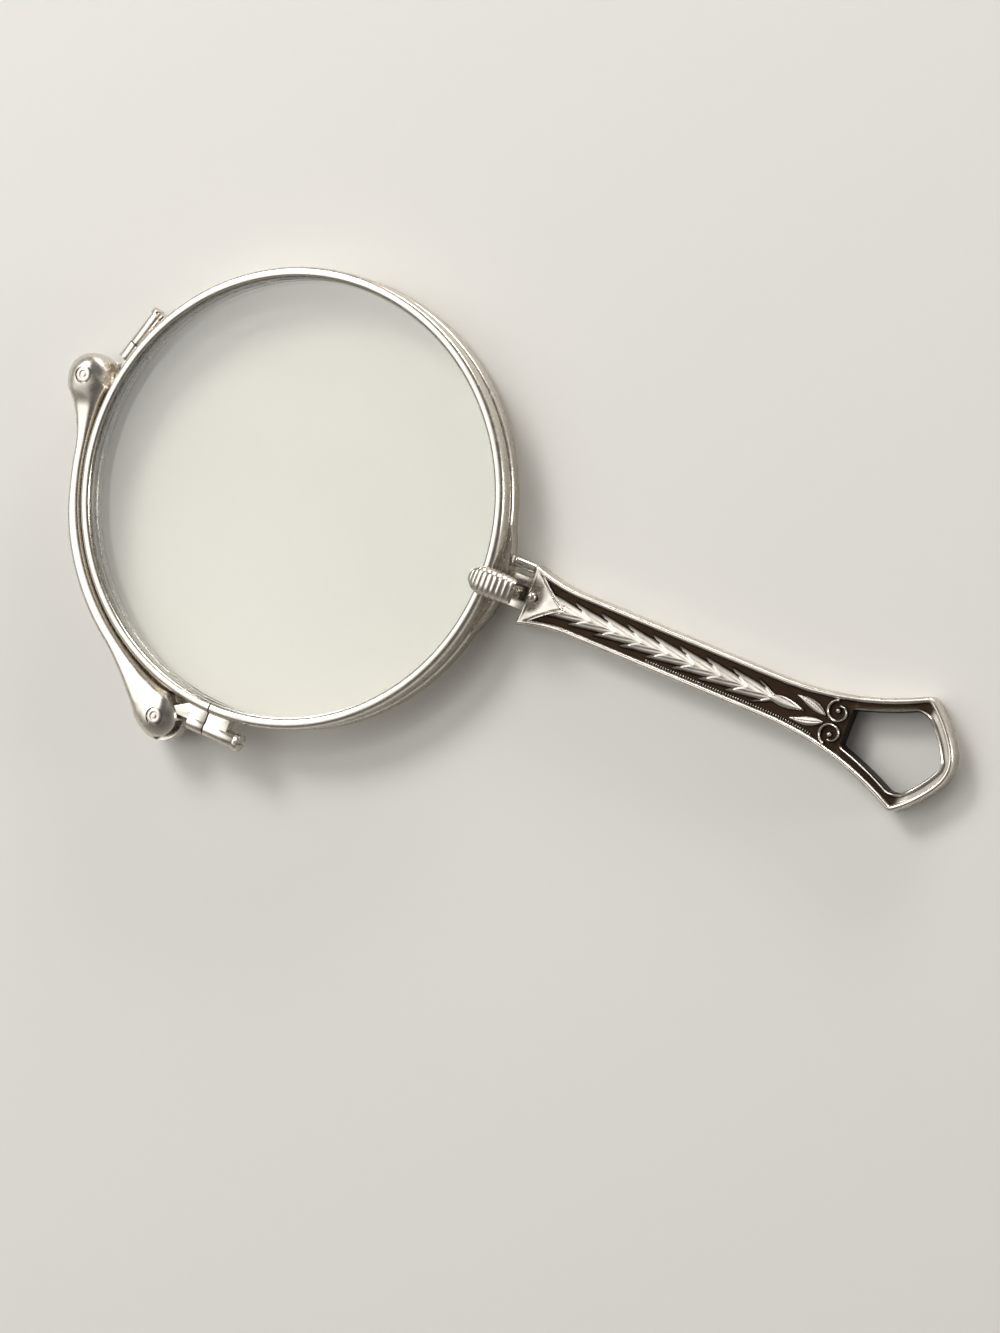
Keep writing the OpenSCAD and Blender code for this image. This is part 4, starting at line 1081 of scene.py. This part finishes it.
# Beside the lower border runs a row of fine milled ticks, struck with a wheel
tick_tree, given = new_tree("milled_ticks", [
    ("Line", "Object"), ("Pitch", "Float"), ("Length", "Float"), ("Width", "Float"),
    ("Rise", "Float"), ("Height", "Float"), ("Finish", "Material")])
border_line = put(tick_tree, "GeometryNodeObjectInfo", inputs={"Object": given["Line"]})
spaced = put(tick_tree, "GeometryNodeCurveToPoints", {"mode": "LENGTH"}, {
    "Curve": border_line.outputs["Geometry"], "Length": given["Pitch"]})
bead = put(tick_tree, "GeometryNodeMeshUVSphere", inputs={"Segments": 12, "Rings": 8, "Radius": 1.0})
shape = put(tick_tree, "ShaderNodeCombineXYZ", inputs={
    "X": given["Width"], "Y": given["Length"], "Z": given["Rise"]})
heading = put(tick_tree, "FunctionNodeAlignRotationToVector", {"axis": "X"}, {
    "Vector": spaced.outputs["Tangent"]})
row = put(tick_tree, "GeometryNodeInstanceOnPoints", inputs={
    "Points": spaced.outputs["Points"], "Instance": bead.outputs["Mesh"],
    "Rotation": heading.outputs["Rotation"], "Scale": shape.outputs["Vector"]})
up_to = put(tick_tree, "ShaderNodeCombineXYZ", inputs={"Z": given["Height"]})
level_row = put(tick_tree, "GeometryNodeTransform", inputs={
    "Geometry": row.outputs["Instances"], "Translation": up_to.outputs["Vector"]})
close_tree(tick_tree, level_row.outputs["Geometry"], given["Finish"])
# Milled silver: a row of small bright points
tick_silver = worn_silver("milled_silver", rough=0.25, tarnish_and_shade=0.3)
TICK_FROM, TICK_TO, TICK_INSET = 36, 52, 0.68
TICK_PITCH, TICK_LEN, TICK_W, TICK_RISE = 0.24, 0.15, 0.065, 0.15
tick_line = closed_curve("tick_line", [(x / 4, TICK_INSET - side_half(x / 4))
                                       for x in range(4 * TICK_FROM, 4 * TICK_TO + 1)])
tick_line.data.splines[0].use_cyclic_u = False
for name, z in (("milled_border_front", SHELL_T + GROUND), ("milled_border_back", SHELL_T - GROUND)):
    grow(name, tick_tree, {
        "Line": tick_line, "Pitch": TICK_PITCH * MM, "Length": TICK_LEN * MM, "Width": TICK_W * MM,
        "Rise": TICK_RISE * MM, "Height": z * MM, "Finish": tick_silver}, "back_frame", [])
bpy.data.objects.remove(tick_line)


# Thumb piece
# A small domed pad, rounded toward the lens, with raised ribs filed across it so that a thumb
# grips it. Hard-soldered on the catch lever's arm.
THUMB_X0, THUMB_LEN, THUMB_W, THUMB_BASE, THUMB_H = 19.15, 4.4, 2.6, 5.25, 1.3
RIBS, RIB_DEEP, TAPER, SIDE_PINCH = 8, 0.13, 0.42, 0.14
made = bmesh.new()
rings = []
steps_x, steps_a = 180, 40
for k in range(steps_x + 1):
    t = k / steps_x
    x = THUMB_X0 + THUMB_LEN * t
    nose = min(t * THUMB_LEN / (THUMB_W / 2), 1.0)
    nose_round = math.sqrt(max(1 - (1 - nose) ** 2, 0.0))
    plan_half = THUMB_W / 2 * nose_round
    tail = smooth((1 - t) / 0.06) * 0.08 + 0.92
    rib = abs(math.sin(math.pi * (t * (RIBS + 0.3) + 0.1)))
    groove = RIB_DEEP * (1 - rib ** 0.4)
    dome = THUMB_H * (1 - TAPER * (2 * t - 1) ** 2) * (0.35 + 0.65 * nose_round)
    half_w = max(plan_half * tail * (1 - SIDE_PINCH * (2 * t - 1) ** 2) - groove * 0.35, 0.02)
    tall = max((dome - groove) * tail, 0.05)
    ring = []
    for i in range(steps_a + 1):
        a = math.pi * i / steps_a
        ca, sa = math.cos(a), math.sin(a)
        ring.append(made.verts.new((
            x * MM, half_w * math.copysign(abs(ca) ** 0.8, ca) * MM,
            (THUMB_BASE + tall * abs(sa) ** 0.75) * MM)))
    rings.append(ring)
for low, high in zip(rings, rings[1:]):
    for i in range(steps_a):
        made.faces.new((low[i], low[i + 1], high[i + 1], high[i]))
    made.faces.new((low[steps_a], low[0], high[0], high[steps_a]))
for ring in (rings[0], rings[-1]):
    made.faces.new(ring)
bmesh.ops.recalc_face_normals(made, faces=made.faces)
mesh = bpy.data.meshes.new("thumb_ribbed")
made.to_mesh(mesh)
made.free()
# Filed silver: bright crests, brown between the ribs from tarnish and painted shade found by occlusion
thumb_silver = worn_silver("filed_silver", rough=0.26, tarnish_and_shade=0.7)
mesh.materials.append(thumb_silver)
place_piece("thumb_ribbed", mesh, "catch", ["thumb_piece"], sharp_deg=60)


# Soldered fittings
# The small parts filed from sheet and drawn stock: hinge tongues with their feet and tubes, closing
# tubes and screws, saddle, throat, stop arm, lever, caps and pins. Each keeps the CAD form, its
# corners eased by the file.
MERGE_WITHIN, FLAT_DEG, CORNER_DEG = 0.0005 * MM, 0.8, 35


def eased(node, name, body, width, material, sharp_deg=32):
    """Copy of a CAD node, merged, with its corners eased by a small bevel."""
    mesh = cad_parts[node].data.copy()
    made = bmesh.new()
    made.from_mesh(mesh)
    bmesh.ops.remove_doubles(made, verts=made.verts, dist=MERGE_WITHIN)
    bmesh.ops.dissolve_limit(made, angle_limit=math.radians(FLAT_DEG), verts=made.verts,
                             edges=made.edges)
    made.to_mesh(mesh)
    made.free()
    mesh.materials.clear()
    mesh.materials.append(material)
    for name_gone in [a.name for a in mesh.attributes if a.name.startswith("custom_normal")]:
        mesh.attributes.remove(mesh.attributes[name_gone])
    if width:
        block = bpy.data.objects.new(name, mesh)
        bpy.context.scene.collection.objects.link(block)
        ease = block.modifiers.new("ease", "BEVEL")
        ease.width = width * MM
        ease.segments = 2
        ease.limit_method = "ANGLE"
        ease.angle_limit = math.radians(CORNER_DEG)
        ease.use_clamp_overlap = True
        bpy.context.view_layer.update()
        mesh = bpy.data.meshes.new_from_object(
            block.evaluated_get(bpy.context.evaluated_depsgraph_get()))
        bpy.data.objects.remove(block)
    return place_piece(name, mesh, body, [node], sharp_deg)


# Filed and soldered silver: bright faces, brown in the corners where solder took the stain, with painted
# shade found by occlusion
fitting_silver = worn_silver("filed_silver_fittings", rough=0.22, tarnish_and_shade=0.6)
for node, body, width in (
        ("back_hinge_block", "back_frame", 0.08), ("front_hinge_block", "front_frame", 0.08),
        ("back_closing_tube", "back_frame", 0.07), ("front_closing_tube", "front_frame", 0.07),
        ("back_closing_screw", "back_frame", 0.06), ("front_closing_screw", "front_frame", 0.06),
        ("saddle", "back_frame", 0.08), ("throat_block", "back_frame", 0.06),
        ("stop_arm", "back_frame", 0.1), ("throat_rivet", "back_frame", 0.0),
        ("catch_lever", "catch", 0.06), ("top_knuckle_cap", "bridge", 0.03),
        ("bottom_knuckle_cap", "bridge", 0.03), ("top_pivot_pin", "bridge", 0.02),
        ("bottom_pivot_pin", "bridge", 0.02)):
    eased(node, node + "_finished", body, width, fitting_silver)


# Steel inside
# Hardened steel wire and strip: the catch pin, its leaf spring and the two torsion springs that
# throw the lorgnette open. Blue-grey, drawn smooth, seen only through the knuckles' slots.
# Drawn steel: blue-grey, streaked along the wire
spring_steel, tree = new_material("drawn_spring_steel")
place = put(tree, "ShaderNodeTexCoord").outputs["Object"]
streak = put(tree, "ShaderNodeTexNoise", inputs={"Vector": place, "Scale": 1 / (0.2 * MM), "Detail": 3.0})
sheen = put(tree, "ShaderNodeMapRange", inputs={
    "Value": streak.outputs["Fac"], "To Min": 0.25, "To Max": 0.4})
steel = put(tree, "ShaderNodeBsdfPrincipled", inputs={
    "Base Color": srgb("#9A9DA2"), "Metallic": 1.0, "Roughness": sheen.outputs["Result"]})
put(tree, "ShaderNodeOutputMaterial", inputs={"Surface": steel.outputs["BSDF"]})
for node in ("catch_pin", "catch_spring"):
    eased(node, node + "_finished", "back_frame", 0.02, spring_steel)

COIL_TURNS, COIL_R, COIL_WIRE_R = 2.5, 1.05, 0.15
coil_tree, given = new_tree("torsion_coil", [
    ("Turns", "Float"), ("Coil radius", "Float"), ("Rise", "Float"), ("Wire radius", "Float"),
    ("Place", "Vector"), ("Finish", "Material")])
coil = put(coil_tree, "GeometryNodeCurveSpiral", inputs={
    "Resolution": 48, "Rotations": given["Turns"], "Start Radius": given["Coil radius"],
    "End Radius": given["Coil radius"], "Height": given["Rise"]})
round_wire = put(coil_tree, "GeometryNodeCurvePrimitiveCircle", inputs={
    "Resolution": 12, "Radius": given["Wire radius"]})
wound = put(coil_tree, "GeometryNodeCurveToMesh", inputs={
    "Curve": coil.outputs["Curve"], "Profile Curve": round_wire.outputs["Curve"], "Fill Caps": True})
set_down = put(coil_tree, "GeometryNodeTransform", inputs={
    "Geometry": wound.outputs["Mesh"], "Translation": given["Place"]})
close_tree(coil_tree, set_down.outputs["Geometry"], given["Finish"])
for node, ball_deg in (("top_torsion_spring", TOP_DEG), ("bottom_torsion_spring", BOTTOM_DEG)):
    low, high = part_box(node)
    centre = knuckle_centre(ball_deg)
    grow(node + "_coil", coil_tree, {
        "Turns": COIL_TURNS, "Coil radius": COIL_R * MM, "Rise": high.z - low.z - 2 * COIL_WIRE_R * MM,
        "Wire radius": COIL_WIRE_R * MM,
        "Place": (centre[0] * MM, centre[1] * MM, low.z + COIL_WIRE_R * MM),
        "Finish": spring_steel}, "bridge", [node])
